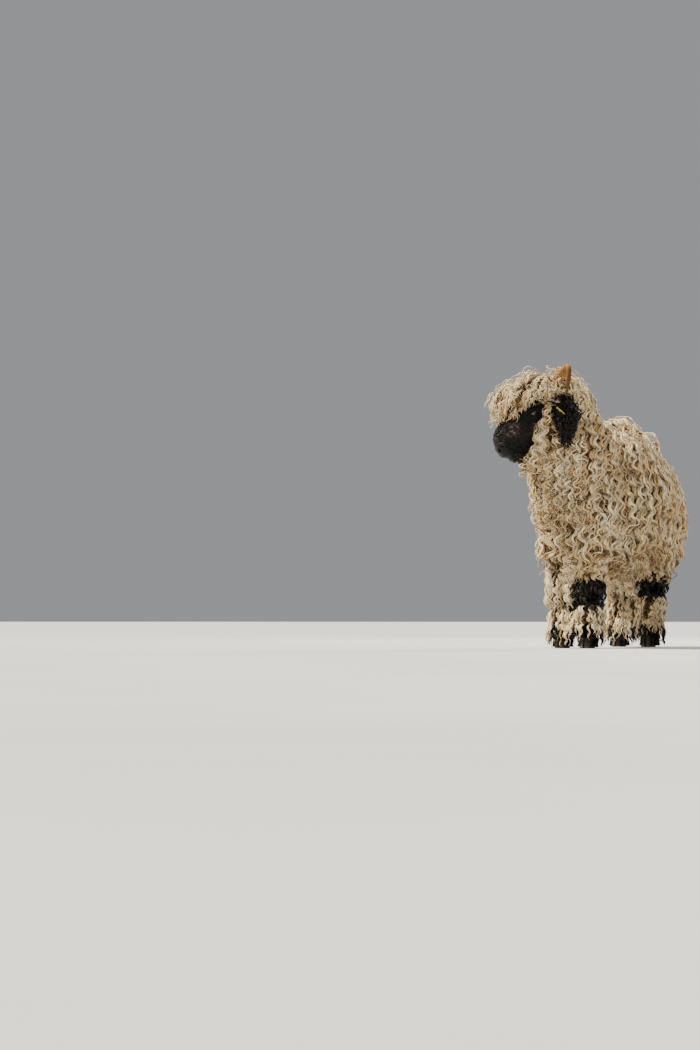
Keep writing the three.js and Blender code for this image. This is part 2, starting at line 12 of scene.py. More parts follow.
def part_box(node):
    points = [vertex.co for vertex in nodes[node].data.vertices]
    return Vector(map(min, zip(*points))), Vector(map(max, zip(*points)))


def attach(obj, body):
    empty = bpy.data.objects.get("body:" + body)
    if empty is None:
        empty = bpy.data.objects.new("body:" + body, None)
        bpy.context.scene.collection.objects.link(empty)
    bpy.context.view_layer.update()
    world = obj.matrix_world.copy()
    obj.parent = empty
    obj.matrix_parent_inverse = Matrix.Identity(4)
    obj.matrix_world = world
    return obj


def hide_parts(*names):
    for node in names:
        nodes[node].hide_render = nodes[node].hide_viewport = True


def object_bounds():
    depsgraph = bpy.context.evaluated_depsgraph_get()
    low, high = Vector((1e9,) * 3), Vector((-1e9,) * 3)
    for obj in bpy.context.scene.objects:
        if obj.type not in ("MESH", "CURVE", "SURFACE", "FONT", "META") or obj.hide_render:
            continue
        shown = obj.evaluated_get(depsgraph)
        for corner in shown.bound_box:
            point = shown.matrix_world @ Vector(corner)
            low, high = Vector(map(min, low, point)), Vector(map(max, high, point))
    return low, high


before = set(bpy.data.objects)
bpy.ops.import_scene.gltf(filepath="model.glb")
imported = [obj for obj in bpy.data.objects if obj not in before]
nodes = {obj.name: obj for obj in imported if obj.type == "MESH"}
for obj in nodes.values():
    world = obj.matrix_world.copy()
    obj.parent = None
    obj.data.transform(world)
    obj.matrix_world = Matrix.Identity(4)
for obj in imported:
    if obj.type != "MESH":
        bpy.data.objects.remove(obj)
cad_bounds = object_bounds()

UP = Vector((0, 0, 1))
FORWARD = Vector((0, -1, 0))
LEGS = ("front_left", "front_right", "hind_left", "hind_right")
HANDS = {"left": 1, "right": -1}

# The head's place, counted from a point on the ground between her feet, and its lean
HEAD_PLACE = Vector((0.012, -0.382, 0.811))
HEAD_PITCH = math.radians(38)
EYE_PLACE = (0.104, 0.022, 0.047)  # along the head, over its axis, to the side
EYE_RADIUS = 0.0145

# Fineness of the skin
BODY_GRAIN = 0.007
HEAD_GRAIN = 0.002
SEED = 7


def middle(node):
    low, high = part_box(node)
    return (low + high) / 2


# Head axes: along to the nose, over to the brow, side to her left
head_side = (middle("eye_left") - middle("eye_right")).normalized()
head_level = Vector((head_side.y, -head_side.x, 0)).normalized()
head_along = head_level * math.cos(HEAD_PITCH) - UP * math.sin(HEAD_PITCH)
head_over = head_along.cross(head_side)
head_at = (middle("eye_left") + middle("eye_right")) / 2
head_at -= head_along * EYE_PLACE[0] + head_over * EYE_PLACE[1]
ground = head_at - HEAD_PLACE
ground.z = 0
HEAD_AXES = np.array([head_along, head_over, head_side])


def on_head(along, over, side):
    return head_at + head_along * along + head_over * over + head_side * side


def in_head(places):
    """Places given along, over and beside the head."""
    return (places - np.array(head_at)) @ HEAD_AXES.T


def from_head(ways):
    return ways @ HEAD_AXES


def folded(spots):
    """Places in head axes, all moved over to her left side."""
    return np.concatenate([spots[..., :2], np.abs(spots[..., 2:])], axis=-1)


def thread(stations, count):
    """Many points along stations given in head axes, with the last value of each as a size."""
    stations = np.array(stations)
    places = np.linspace(0, len(stations) - 1, count)
    return np.stack([np.interp(places, range(len(stations)), column) for column in stations.T], axis=1)


# Mesh tools. An operator for edit() stands with its settings.
WELD = (bpy.ops.mesh.remove_doubles, {"threshold": 0.00002})
FILL = (bpy.ops.mesh.fill_holes, {"sides": 0})
OUTWARDS = (bpy.ops.mesh.normals_make_consistent, {"inside": False})


def only(*pieces):
    """Selects these objects alone, and makes the first the active one."""
    bpy.ops.object.select_all(action="DESELECT")
    for piece in pieces:
        piece.select_set(True)
    bpy.context.view_layer.objects.active = pieces[0]


def modify(piece, kind, **settings):
    """Adds a modifier and applies it."""
    only(piece)
    modifier = piece.modifiers.new(kind.title(), kind)
    for setting, value in settings.items():
        setattr(modifier, setting, value)
    bpy.ops.object.modifier_apply(modifier=modifier.name)
    return piece


def join(name, pieces):
    only(*pieces)
    if len(pieces) > 1:
        bpy.ops.object.join()
    pieces[0].name = name
    return pieces[0]


def edit(piece, *operations):
    """Runs operators on the whole mesh in edit mode."""
    only(piece)
    bpy.ops.object.mode_set(mode="EDIT")
    for operator, settings in operations:
        bpy.ops.mesh.select_all(action="SELECT")
        operator(**settings)
    bpy.ops.object.mode_set(mode="OBJECT")
    return piece


def tidy(piece):
    """Merges doubled corners and turns the faces outwards."""
    return edit(piece, WELD, OUTWARDS)


def smooth(piece):
    piece.data.shade_smooth()
    return piece


def remesh(piece, grain):
    return modify(piece, "REMESH", mode="VOXEL", voxel_size=grain)


def soften(piece, times, factor=0.5):
    return modify(piece, "SMOOTH", factor=factor, iterations=times)


def put(name, data):
    """A new object in the scene."""
    made = bpy.data.objects.new(name, data)
    bpy.context.scene.collection.objects.link(made)
    return made


def copy_of(node):
    """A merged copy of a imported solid."""
    piece = put(node + "_copy", nodes[node].data.copy())
    piece.data.materials.clear()
    return tidy(piece)


def read(items, key, width, kind=np.float32):
    """One property of all these vertices, triangles or corners, in rows of that width."""
    values = np.empty(len(items) * width, kind)
    items.foreach_get(key, values)
    return values.reshape(-1, width)


def set_number(mesh, name, values):
    mesh.attributes.new(name, "FLOAT", "POINT").data.foreach_set("value", values.astype(np.float32))


def turned_to(along, over):
    """The rotation that puts Z along one way and Y as near as can be over it."""
    side = over.cross(along).normalized()
    return Matrix((side, along.cross(side).normalized(), along)).transposed()


def spline(a, b, c, d, t):
    """A smooth curve that runs from b to c and has a before it and d after it."""
    return b + 0.5 * t * (c - a + t * (2 * a - 5 * b + 4 * c - d + t * (3 * b - 3 * c + d - a)))


AIM = 0.01  # the share of a path to each side over which its direction is measured


class Limb:
    """An oval section swept along a smooth path. Each station is x, y, z, half width, half depth,
    and over points to the depth side. A pear section is narrow over and broad under."""

    def __init__(self, stations, over, pear=0.0):
        self.stations = np.array(stations, float)
        self.over = over
        self.pear = pear

    def at(self, share):
        last = len(self.stations) - 1
        place = min(max(share, 0.0), 1.0) * last
        low = min(int(place), last - 1)
        before = max(low - 1, 0)
        after = min(low + 2, last)
        around = (self.stations[k] for k in (before, low, low + 1, after))
        return spline(*around, place - low)

    def frame(self, share):
        here = self.at(share)
        along = Vector(self.at(share + AIM)[:3] - self.at(share - AIM)[:3]).normalized()
        side = along.cross(self.over).normalized()
        over = side.cross(along)
        return Vector(here[:3]), along, side, over, here[3], here[4]

    def surface(self, share, angle):
        centre, along, side, over, wide, deep = self.frame(share)
        swell = 1 - self.pear * math.cos(angle)
        return centre + side * wide * swell * math.sin(angle) + over * deep * math.cos(angle)

    def tube(self, name, around, rings):
        """A closed tube, bent from a flat grid whose edges are then welded and filled."""
        bpy.ops.mesh.primitive_grid_add(x_subdivisions=around, y_subdivisions=rings, size=1)
        piece = bpy.context.object
        piece.name = name
        for vertex in piece.data.vertices:
            share = vertex.co.y + 0.5
            vertex.co = self.surface(share, math.tau * (vertex.co.x + 0.5))
        return edit(piece, WELD, FILL, OUTWARDS)


def placed(stations):
    """Stations counted from between the feet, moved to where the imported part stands."""
    return [(x + ground.x, y + ground.y, z, wide, deep) for x, y, z, wide, deep in stations]


def on_head_stations(stations):
    """Stations given along, over and beside the head."""
    return [(*on_head(along, over, side), wide, deep) for along, over, side, wide, deep in stations]


# Flesh under the fleece
trunk = Limb(
    placed(
        [
            (0.008, -0.300, 0.500, 0.030, 0.052),
            (0.008, -0.276, 0.502, 0.068, 0.112),
            (0.008, -0.225, 0.521, 0.094, 0.179),
            (0.008, -0.120, 0.540, 0.118, 0.210),
            (0.008, 0.020, 0.545, 0.132, 0.217),
            (0.007, 0.150, 0.540, 0.134, 0.203),
            (0.006, 0.255, 0.514, 0.116, 0.160),
            (0.004, 0.332, 0.496, 0.086, 0.116),
            (0.004, 0.380, 0.486, 0.044, 0.062),
        ]
    ),
    UP,
    pear=0.18,
)
neck = Limb(
    placed(
        [
            (0.006, -0.232, 0.560, 0.078, 0.118),
            (0.001, -0.276, 0.640, 0.082, 0.118),
            (-0.006, -0.322, 0.716, 0.078, 0.106),
            (0.000, -0.336, 0.788, 0.074, 0.104),
            (0.008, -0.330, 0.856, 0.060, 0.098),
        ]
    ),
    Vector((0, 1, 0.6)),
)
tail = Limb(
    placed(
        [
            (0.004, 0.385, 0.620, 0.016, 0.014),
            (0.004, 0.425, 0.585, 0.017, 0.013),
            (0.004, 0.442, 0.500, 0.017, 0.012),
            (0.004, 0.438, 0.410, 0.014, 0.010),
            (0.004, 0.430, 0.345, 0.008, 0.007),
        ]
    ),
    Vector((0, 1, 0)),
)
CROWN_INSET = 0.022  # how far the cushion under the topknot lies inside the solid
crown = Limb(
    on_head_stations(
        [
            (along, over, 0, wide - CROWN_INSET, deep - CROWN_INSET)
            for along, over, wide, deep in (
                (-0.034, 0.010, 0.040, 0.030),
                (-0.012, 0.034, 0.070, 0.056),
                (0.035, 0.060, 0.081, 0.058),
                (0.088, 0.082, 0.078, 0.048),
                (0.132, 0.088, 0.064, 0.042),
                (0.156, 0.084, 0.036, 0.028),
            )
        ]
    ),
    head_over,
)


# Stations of a leg: how far out against its hoof, how far behind it, height and half widths
FORELEG = [
    (1.25, 0.040, 0.400, 0.042, 0.058),
    (1.12, 0.022, 0.300, 0.029, 0.036),
    (1.00, 0.008, 0.205, 0.024, 0.027),
    (1.00, 0.006, 0.165, 0.021, 0.023),
    (1.00, 0.008, 0.115, 0.017, 0.019),
    (1.00, 0.005, 0.076, 0.020, 0.023),
    (1.00, 0.000, 0.034, 0.020, 0.024),
]
HINDLEG = [
    (1.30, -0.020, 0.420, 0.052, 0.090),
    (1.15, 0.008, 0.325, 0.038, 0.058),
    (1.00, 0.034, 0.242, 0.026, 0.036),
    (1.00, 0.026, 0.195, 0.021, 0.026),
    (1.00, 0.014, 0.125, 0.018, 0.021),
    (1.00, 0.005, 0.076, 0.021, 0.025),
    (1.00, 0.000, 0.034, 0.020, 0.025),
]
HOOF_AHEAD = 0.007  # a hoof's middle lies this far ahead of the leg's path


def leg(name):
    foot = middle("hoof_" + name) + Vector((0, HOOF_AHEAD, 0))
    x, y = foot.x - ground.x, foot.y - ground.y
    reach = FORELEG if name.startswith("front") else HINDLEG
    return Limb(placed([(x * out, y + back, *rest) for out, back, *rest in reach]), FORWARD)


BARE_NODES = ("eye_", "horn_", "hoof_", "ear_")
FORM_GRAIN = 0.010
FORM_CLOSING = 0.020  # half the width of the creases that the form leaves out
CORE_DEPTH = 0.034  # of the wool over the trunk and neck
EAR_SHRINK = 0.74  # the ear's flesh against its outline with its hair
EAR_LINE = [
    (0.011, 0.010, 0.042, 0.020),
    (0.009, -0.014, 0.068, 0.043),
    (0.029, -0.045, 0.090, 0.051),
    (0.058, -0.078, 0.098, 0.038),
    (0.084, -0.105, 0.098, 0.012),
]


def swell(form, step):
    """Moves a surface outwards, or inwards where the step is below zero."""
    modify(form, "DISPLACE", strength=step, mid_level=0.0)
    return remesh(form, FORM_GRAIN)


def closed_form(name, covered):
    """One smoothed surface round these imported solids, with the creases between them closed."""
    form = join(name, [copy_of(node) for node in covered])
    remesh(form, FORM_GRAIN)
    for step in (FORM_CLOSING, -FORM_CLOSING):
        swell(form, step)
    return soften(form, 6, factor=0.6)


def make_form():
    """The wool's outer form. Locks are measured from it."""
    return closed_form("form", [name for name in nodes if not name.startswith(BARE_NODES)])


def make_core():
    """The flesh under the long fleece: its form drawn in by the depth of the wool."""
    core = closed_form("core", ["torso", "neck", "beard"])
    for _ in range(2):
        swell(core, -CORE_DEPTH / 2)
    return core


def make_ear(name, hand):
    """An ear's flesh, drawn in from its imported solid, with a root that reaches into the head."""
    piece = copy_of("ear_" + name)
    line = np.array([on_head(a, o, s * hand) for a, o, s, size in thread(EAR_LINE, 40)])
    for vertex in piece.data.vertices:
        away = np.linalg.norm(line - np.array(vertex.co), axis=1)
        centre = Vector(line[away.argmin()])
        vertex.co = centre + (vertex.co - centre) * EAR_SHRINK
    stations = [
        (0.012, 0.014, 0.026 * hand, 0.010, 0.010),
        (0.011, 0.004, 0.050 * hand, 0.013, 0.011),
        (0.010, -0.006, 0.062 * hand, 0.018, 0.009),
        (0.012, -0.018, 0.072 * hand, 0.016, 0.006),
    ]
    root = Limb(on_head_stations(stations), head_side).tube("ear_root", 14, 10)
    return join("ear_flesh", [piece, root])


def near_line(spots, line):
    """How far places on the head are from a line that runs alike on both sides of it."""
    spots = folded(spots)
    line = np.array(line)
    nearest = np.full(len(spots), np.inf)
    for start, end in zip(line[:-1], line[1:]):
        way = end - start
        share = np.clip((spots - start) @ way / (way @ way), 0, 1)[:, None]
        nearest = np.minimum(nearest, np.linalg.norm(spots - start - share * way, axis=1))
    return nearest


# Folds of the face: how far out they stand, how broad they are, and their line in head axes
FACE_FOLDS = {
    "mouth": (
        -0.0042,
        0.0022,
        [(0.264, -0.040, 0.0), (0.252, -0.044, 0.026), (0.228, -0.044, 0.040), (0.196, -0.034, 0.048)],
    ),
    "upper_lip": (
        0.0024,
        0.0050,
        [(0.262, -0.031, 0.010), (0.248, -0.033, 0.030), (0.226, -0.034, 0.042), (0.205, -0.028, 0.048)],
    ),
    "lower_lip": (0.0020, 0.0040, [(0.256, -0.051, 0.006), (0.244, -0.053, 0.026), (0.220, -0.052, 0.037)]),
    "philtrum": (-0.0026, 0.0020, [(0.272, -0.012, 0.0), (0.266, -0.036, 0.0)]),
    "nostril": (-0.0060, 0.0026, [(0.262, -0.013, 0.014), (0.257, -0.005, 0.022), (0.249, 0.000, 0.030)]),
    "nostril_wing": (
        0.0030,
        0.0046,
        [(0.263, 0.000, 0.012), (0.253, 0.008, 0.024), (0.240, 0.004, 0.036), (0.243, -0.010, 0.038)],
    ),
    "nostril_fold": (-0.0026, 0.0028, [(0.244, 0.014, 0.028), (0.231, 0.006, 0.039), (0.232, -0.012, 0.043)]),
    "brow": (0.0040, 0.0075, [(0.078, 0.040, 0.044), (0.104, 0.050, 0.044), (0.128, 0.038, 0.044)]),
    "lid_fold": (-0.0022, 0.0026, [(0.082, 0.034, 0.054), (0.104, 0.041, 0.056), (0.126, 0.032, 0.052)]),
    "under_eye": (-0.0018, 0.0028, [(0.082, 0.008, 0.058), (0.104, 0.001, 0.060), (0.126, 0.008, 0.056)]),
    "tear_groove": (-0.0034, 0.0045, [(0.126, 0.012, 0.052), (0.142, 0.000, 0.056), (0.156, -0.012, 0.056)]),
    "cheek_bone": (0.0030, 0.0100, [(0.070, -0.010, 0.060), (0.110, -0.014, 0.062), (0.150, -0.026, 0.056)]),
    "muzzle_hollow": (-0.0040, 0.0140, [(0.172, 0.014, 0.046), (0.205, 0.006, 0.042)]),
    "nose_edge": (0.0022, 0.0070, [(0.140, 0.052, 0.026), (0.190, 0.046, 0.026), (0.232, 0.030, 0.022)]),
}
WRINKLE = 0.0007  # how rough the bare skin of the muzzle is
WRINKLE_SCALE = 170  # wrinkles in each metre
MUZZLE_START = 0.12  # along the head
MUZZLE_FADE = 0.04


def sculpt_face(head):
    """Raises and sinks the folds of the face, and wrinkles its skin."""
    vertices = head.data.vertices
    places = read(vertices, "co", 3)
    spots = in_head(places)
    rise = np.zeros(len(vertices))
    for height, breadth, line in FACE_FOLDS.values():
        rise += height * np.exp(-((near_line(spots, line) / breadth) ** 2))
    rough = np.array([noise.noise(Vector(place) * WRINKLE_SCALE) for place in places])
    rise += WRINKLE * rough * np.clip((spots[:, 0] - MUZZLE_START) / MUZZLE_FADE, 0, 1)
    places = places + read(vertices, "normal", 3) * rise[:, None]
    vertices.foreach_set("co", places.ravel())
    head.data.update()


def make_skin():
    """One closed surface: the body under the fleece, and the head with its ears and lips."""
    tubes = [
        make_core(),
        trunk.tube("trunk", 28, 40),
        neck.tube("neck", 24, 20),
        tail.tube("tail", 12, 16),
        crown.tube("crown", 20, 14),
        *(leg(name).tube(name, 16, 28) for name in LEGS),
    ]
    body = join("skin", tubes)
    remesh(body, BODY_GRAIN)
    soften(body, 10)
    ears = [make_ear(name, hand) for name, hand in HANDS.items()]
    head = join("head_skin", [copy_of("head"), *ears])
    remesh(head, HEAD_GRAIN)
    soften(head, 8)
    sculpt_face(head)
    modify(body, "BOOLEAN", object=head, operation="UNION", solver="MANIFOLD")
    bpy.data.objects.remove(head)
    tidy(body)
    return smooth(body)


class Surface:
    """A mesh that points can be measured from."""

    def __init__(self, piece):
        self.tree = BVHTree.FromObject(piece, bpy.context.evaluated_depsgraph_get())

    def nearest(self, points):
        found = [self.tree.find_nearest(Vector(point)) for point in points]
        return np.array([hit[0] for hit in found]), np.array([hit[1] for hit in found])


RAY_START = 0.0015  # over the skin, so that a ray doesn't meet the solid it starts on
RAY_LENGTH = 0.2


class Solids:
    """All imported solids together, to tell which node a place on the skin belongs to."""

    def __init__(self):
        corners = []
        faces = []
        self.owners = []
        for name, node in nodes.items():
            first = len(corners)
            corners.extend(vertex.co.copy() for vertex in node.data.vertices)
            faces.extend([first + k for k in face.vertices] for face in node.data.polygons)
            self.owners.extend([name] * len(node.data.polygons))
        self.tree = BVHTree.FromPolygons(corners, faces)

    def owner(self, place, out):
        """The solid round a place on the skin, or the bare one that the place lies on."""
        nearest = self.owners[self.tree.find_nearest(place)[2]]
        if nearest.startswith("ear_"):
            return nearest
        _, normal, face, _ = self.tree.ray_cast(place + out * RAY_START, out, RAY_LENGTH)
        if face is not None and normal.dot(out) > 0:
            return self.owners[face]
        return nearest


BLACK_NODES = ("head", "ear_left", "ear_right", "knee", "hock", "pastern")
BROW_BACK = 0.03  # how far behind the brow's start the black skin under the hem reaches
BROW_BREADTH = 0.018  # and how far over and under the hem


def is_black(node):
    return node.startswith(BLACK_NODES)


def mark(skin, solids):
    """Writes on the skin which parts of it are black, as the solids are, with the brow under the
    topknot's hem, and where the black hair is worn thin."""
    vertices = skin.data.vertices
    places = read(vertices, "co", 3)
    black = np.array([is_black(solids.owner(vertex.co, vertex.normal)) for vertex in vertices])
    spots = in_head(places)
    ahead = spots[:, 0] > BROW_REAR - BROW_BACK
    brow = ahead & (np.abs(spots[:, 1] - TOPKNOT_HEM) < BROW_BREADTH)
    set_number(skin.data, "black", np.maximum(black, brow))
    set_number(skin.data, "thin", worn_thin(places))


THIN_PLACES = {  # along, over and beside the head, and how far each reaches
    "muzzle": (0.196, 0.022, 0.046, 0.036),
    "top of the ear": (0.016, 0.000, 0.062, 0.016),
}
THIN_EDGE = 1.6  # how fast the hair thickens again at their edges


def worn_thin(places):
    spots = folded(in_head(places))
    thin = np.zeros(len(spots))
    for *centre, reach in THIN_PLACES.values():
        away = np.linalg.norm(spots - np.array(centre), axis=1)
        thin = np.maximum(thin, np.clip(THIN_EDGE - THIN_EDGE * away / reach, 0, 1))
    return thin


def unwrap(skin):
    """Lays the skin out flat on a map of its own."""
    skin.data.uv_layers.new(name="OFBake")
    flatten = (bpy.ops.uv.smart_project, {"angle_limit": math.radians(60), "island_margin": 0.001})
    edit(skin, flatten)


# The coat
@dataclass
class Style:
    """How the locks of one part of the coat look. Lengths are in metres."""

    spacing: float  # between the roots of locks
    length: float
    width: float  # of a whole lock
    strands: int  # in each lock
    low: float  # where the deepest locks lie, counted from the form that they follow
    high: float  # where the outermost locks lie
    wave: float  # how far a curl swings to each side
    period: float  # from one curl to the next
    steps: int  # pieces along a strand
    mess: float = 1.0  # how far neighbours differ
    droop: float = 0.35  # pull of gravity at each step of the path
    lift: float = 0.8  # how much a lock stands up at its root
    hook: float = 0.0  # how much bigger its curls get low on the body
    calm: float = 0.0  # how much smaller they get on the back and the rump
    column: float = 0.0  # how wide the columns are into which its locks gather


TORSO = Style(
    0.0252, 0.150, 0.0120, 2, -0.024, 0.003, 0.0084, 0.045, 22, mess=0.8, hook=1.3, calm=0.50, column=0.032
)
CREST = Style(0.0190, 0.085, 0.0120, 2, -0.012, 0.001, 0.0044, 0.036, 11, mess=1.4, lift=0.5)
UNDERCOAT = Style(0.0215, 0.075, 0.0200, 1, -0.032, -0.022, 0.0050, 0.040, 6, mess=1.6, lift=0.3)
NECK = Style(0.0215, 0.130, 0.0112, 2, -0.024, 0.004, 0.0098, 0.043, 22, mess=1.2, hook=0.9, column=0.036)
THROAT = Style(0.0150, 0.100, 0.0120, 2, 0.004, 0.020, 0.0070, 0.038, 15, mess=1.6)
TAIL = Style(0.0180, 0.100, 0.0110, 2, -0.010, 0.000, 0.0060, 0.036, 20)
TOPKNOT = Style(0.0104, 0.094, 0.0070, 2, -0.020, 0.007, 0.0036, 0.032, 17, mess=2.2, droop=0.26)
FORELOCK = Style(0.0200, 0.085, 0.0036, 1, 0.008, 0.026, 0.0100, 0.040, 16, mess=3.4, droop=0.16)
CHEEK = Style(0.0115, 0.100, 0.0080, 2, -0.018, 0.004, 0.0082, 0.038, 22, mess=1.6)
BEARD = Style(0.0130, 0.085, 0.0080, 2, -0.010, 0.000, 0.0080, 0.030, 18, mess=2.2)
UPPER_LEG = Style(0.0150, 0.085, 0.0105, 2, -0.008, 0.004, 0.0060, 0.034, 16, mess=1.8)
SHANK = Style(0.0100, 0.062, 0.0100, 2, -0.004, 0.012, 0.0040, 0.030, 12, mess=1.8)
KNEE = Style(0.0100, 0.048, 0.0095, 2, -0.008, 0.009, 0.0036, 0.028, 10, mess=1.8)
PASTERN = Style(0.0090, 0.080, 0.0105, 2, -0.006, 0.012, 0.0036, 0.028, 11, mess=1.8, droop=0.5)
EAR = Style(0.0068, 0.036, 0.0046, 2, 0.000, 0.013, 0.0030, 0.020, 8, mess=2.4, lift=0.7)
JAW = Style(0.0080, 0.022, 0.0040, 2, 0.002, 0.008, 0.0018, 0.018, 7, mess=2.0)
FACE = Style(0.0048, 0.012, 0.0024, 1, 0.0004, 0.0020, 0.0003, 0.012, 3, droop=0.0, lift=0.2)


def stray(style):
    """Thin loose hairs that stand out of the same part of the coat."""
    return replace(
        style,
        spacing=style.spacing * 1.4,
        length=style.length * 0.55,
        width=0.0024,
        strands=1,
        low=0.0,
        high=0.008,
        steps=style.steps // 2,
        mess=style.mess + 1.2,
        calm=0.0,
        column=0.0,
    )


def unit(vectors):
    return vectors / np.maximum(np.linalg.norm(vectors, axis=-1, keepdims=True), 1e-9)


def dot(a, b):
    return np.sum(a * b, axis=-1, keepdims=True)


TRIES = 6  # chance places for each root that is kept
CELL_NUMBERS = np.array([1, 4096, 4096**2])  # give each cell a number of its own


class Roots:
    """Places on the skin where locks grow, with their way out, their owner and their map place."""

    def __init__(self, skin, solids, rng):
        mesh = skin.data
        mesh.calc_loop_triangles()
        triangles = mesh.loop_triangles
        self.corners = read(triangles, "vertices", 3, np.int32)
        self.loops = read(triangles, "loops", 3, np.int32)
        areas = read(triangles, "area", 1)[:, 0]
        self.share = np.cumsum(areas) / areas.sum()
        self.area = float(areas.sum())
        self.places = read(mesh.vertices, "co", 3)
        self.normals = read(mesh.vertices, "normal", 3)
        self.uvs = read(mesh.uv_layers["OFBake"].uv, "vector", 2)
        self.rng = rng
        owners = [solids.owner(Vector(p), Vector(n)) for p, n in self.centres()]
        self.owners = np.array(owners)

    def centres(self):
        centres = self.places[self.corners].mean(axis=1)
        normals = unit(self.normals[self.corners].mean(axis=1))
        return zip(centres, normals)

    def on(self, names, spacing, where=None):
        """Roots on these nodes' skin, one in each cell of a grid of that spacing."""
        wanted = np.isin(self.owners, names)
        if where:
            middles, outs = (np.array(values) for values in zip(*self.centres()))
            wanted &= where(middles, outs)
        faces = np.flatnonzero(wanted)
        weights = np.diff(self.share, prepend=0)[faces]
        tries = int(self.area * weights.sum() * TRIES / spacing**2)
        picked = faces[self.rng.choice(len(faces), tries, p=weights / weights.sum())]
        mix = self.rng.dirichlet((1, 1, 1), tries)[:, :, None]
        places = (self.places[self.corners[picked]] * mix).sum(axis=1)
        normals = unit((self.normals[self.corners[picked]] * mix).sum(axis=1))
        uvs = (self.uvs[self.loops[picked]] * mix).sum(axis=1)
        cells = np.floor(places / spacing).astype(np.int64)
        keep = np.unique(cells @ CELL_NUMBERS, return_index=True)[1]
        return places[keep], normals[keep], uvs[keep]


DOWN = np.array([0, 0, -1.0])
LEAST_HEIGHT = 0.004  # how near the floor the wool may come
CONTROLS = 8  # pieces of a lock's path before its curls are laid on it
LENGTHS = (0.8, 1.15)  # the least and the most of its style's length
LEAN_MESS = 0.12  # how far locks of the mess 1 lean out of their way
RISEN = 0.32  # the share of a lock after which it keeps its level
ARCH = 0.007  # how far over its level a lock may arch before that
FIRMNESS = 0.7  # how little a lock's heading follows the form under it
OUT_PULL = 0.8  # how much a lock's own way out follows the form's, at each step
ROOT_DEPTH = 0.002
SHADED_DEPTH = 0.026  # how deep in the wool a lock is where its painted shade is darkest
UNDERSIDE = -0.30  # where the form faces down more than this, locks hang free of it
LEAST_KEPT = 0.16  # the shortest share that is left of a lock
STOP_LOOKS = 4  # looks for the coat's end on each piece of a path
DRIFT_SCALE = 6  # slow changes in each metre


def lay(surface, places, normals, lean, style, rng):
    """The paths of locks that leave the skin, reach their level and hang along the form, with
    the form's way out beside each place and how high in the wool each lock lies."""
    count = len(places)
    length = style.length * rng.uniform(*LENGTHS, (count, 1))
    level = rng.uniform(style.low, style.high, (count, 1))
    lean = lean + rng.normal(0, LEAN_MESS * style.mess, (count, 3))
    heading = unit(unit(lean - normals * dot(lean, normals)) + normals * style.lift)
    here = places - normals * ROOT_DEPTH
    path = [here]
    outs = [normals]
    for step in range(1, CONTROLS + 1):
        heading = unit(heading + DOWN * style.droop)
        there = here + heading * length / CONTROLS
        foot, out = surface.nearest(there)
        short = level - dot(there - foot, out)
        under = (out[:, 2:] < UNDERSIDE) & (short < 0)
        pull = np.where(short < -ARCH, 1.0, min(1.0, step / CONTROLS / RISEN))
        there = there + out * np.where(under, 0, short) * pull
        there[:, 2] = np.maximum(there[:, 2], LEAST_HEIGHT + style.wave)
        heading = unit(heading * FIRMNESS + unit(there - here) * (1 - FIRMNESS))
        here = there
        path.append(here)
        outs.append(unit(outs[-1] + OUT_PULL * out))
    height = np.clip(1 + level[:, 0] / SHADED_DEPTH, 0, 1)
    return np.stack(path, axis=1), np.stack(outs, axis=1), height


def along_path(values, place):
    """Rows of control values read at places along each row, on a smooth curve."""
    last = values.shape[1] - 1
    low = np.minimum(place.astype(int), last - 1)
    t = (place - low)[..., None]
    around = (np.maximum(low - 1, 0), low, low + 1, np.minimum(low + 2, last))
    return spline(*(np.take_along_axis(values, index[..., None], axis=1) for index in around), t)


def kept(path, stop, rng):
    """How much of each path is kept, so that each lock ends where its part of the coat does."""
    count = len(path)
    if stop is None:
        return np.full((count, 1), float(CONTROLS))
    place = np.tile(np.linspace(0, CONTROLS, CONTROLS * STOP_LOOKS + 1), (count, 1))
    over = stop(along_path(path, place), rng.uniform(-1, 1, (count, 1)))
    first = np.where(over.any(axis=1), over.argmax(axis=1) / STOP_LOOKS, CONTROLS)
    return np.maximum(first, LEAST_KEPT * CONTROLS)[:, None]


def drift(places):
    """Slow changes over the coat that neighbours share, from -1 to 1."""
    return np.array([noise.noise(Vector(place) * DRIFT_SCALE) for place in places])


HOOK_TOP = 0.46  # below this height the curls of the long wool grow bigger
HOOK_DEPTH = 0.14
CALM_FROM = -0.04  # behind this and above that height they grow smaller
CALM_HEIGHT = 0.62
CALM_OVER = 0.24
HOOK_SLOWING = 0.28  # how much further apart bigger curls are
HOOK_SWING = 0.6  # and how much wider they swing
ROUNDNESS = 0.20  # how round the bends of a curl are
COIL = 0.38  # how far a curl also swings in and out, against its swing to each side
GATHERING = 0.56  # how far locks draw together into a column
COLUMN_RELIEF = 0.004  # how far a column's middle stands out
COLUMN_WAVER = 3.0  # how far the columns stray, as an angle of their pattern
COLUMN_PACE = 0.03  # how much faster one column curls than another
COLUMN_TURN = 0.5  # how far it starts ahead, as an angle of the curl
COLUMN_LUCK = 1000  # chance values, so many that the columns of flanks and back share none
WAVER_AT = 3  # the control whose place tells how far a lock is out of step
WAVER_TURN = 5.5  # how far the curls fall out of step over the coat, as an angle
LEAST_TURN = 0.15  # how far neighbours do at least
COLUMN_MESS = 0.15  # and how far more with the mess 1, in a column
MESS = 0.22  # and out of one
STRAND_TURN = 0.14  # how far the strands of one lock do
IN_STEP = 0.6  # the share of a strand at which neighbours curl in step
CURL_START = 4  # how many times shorter than a lock the stretch is on which its curls begin
CURL_ROOT = 0.8  # the curls' swing at the root, against the style's
CURL_GROWTH = 0.45  # how much it grows to the tip
ROLL = 0.7  # how far a strand's flat side turns to and fro with its curls
ROLL_LEAD = 0.9  # how far ahead of them it does
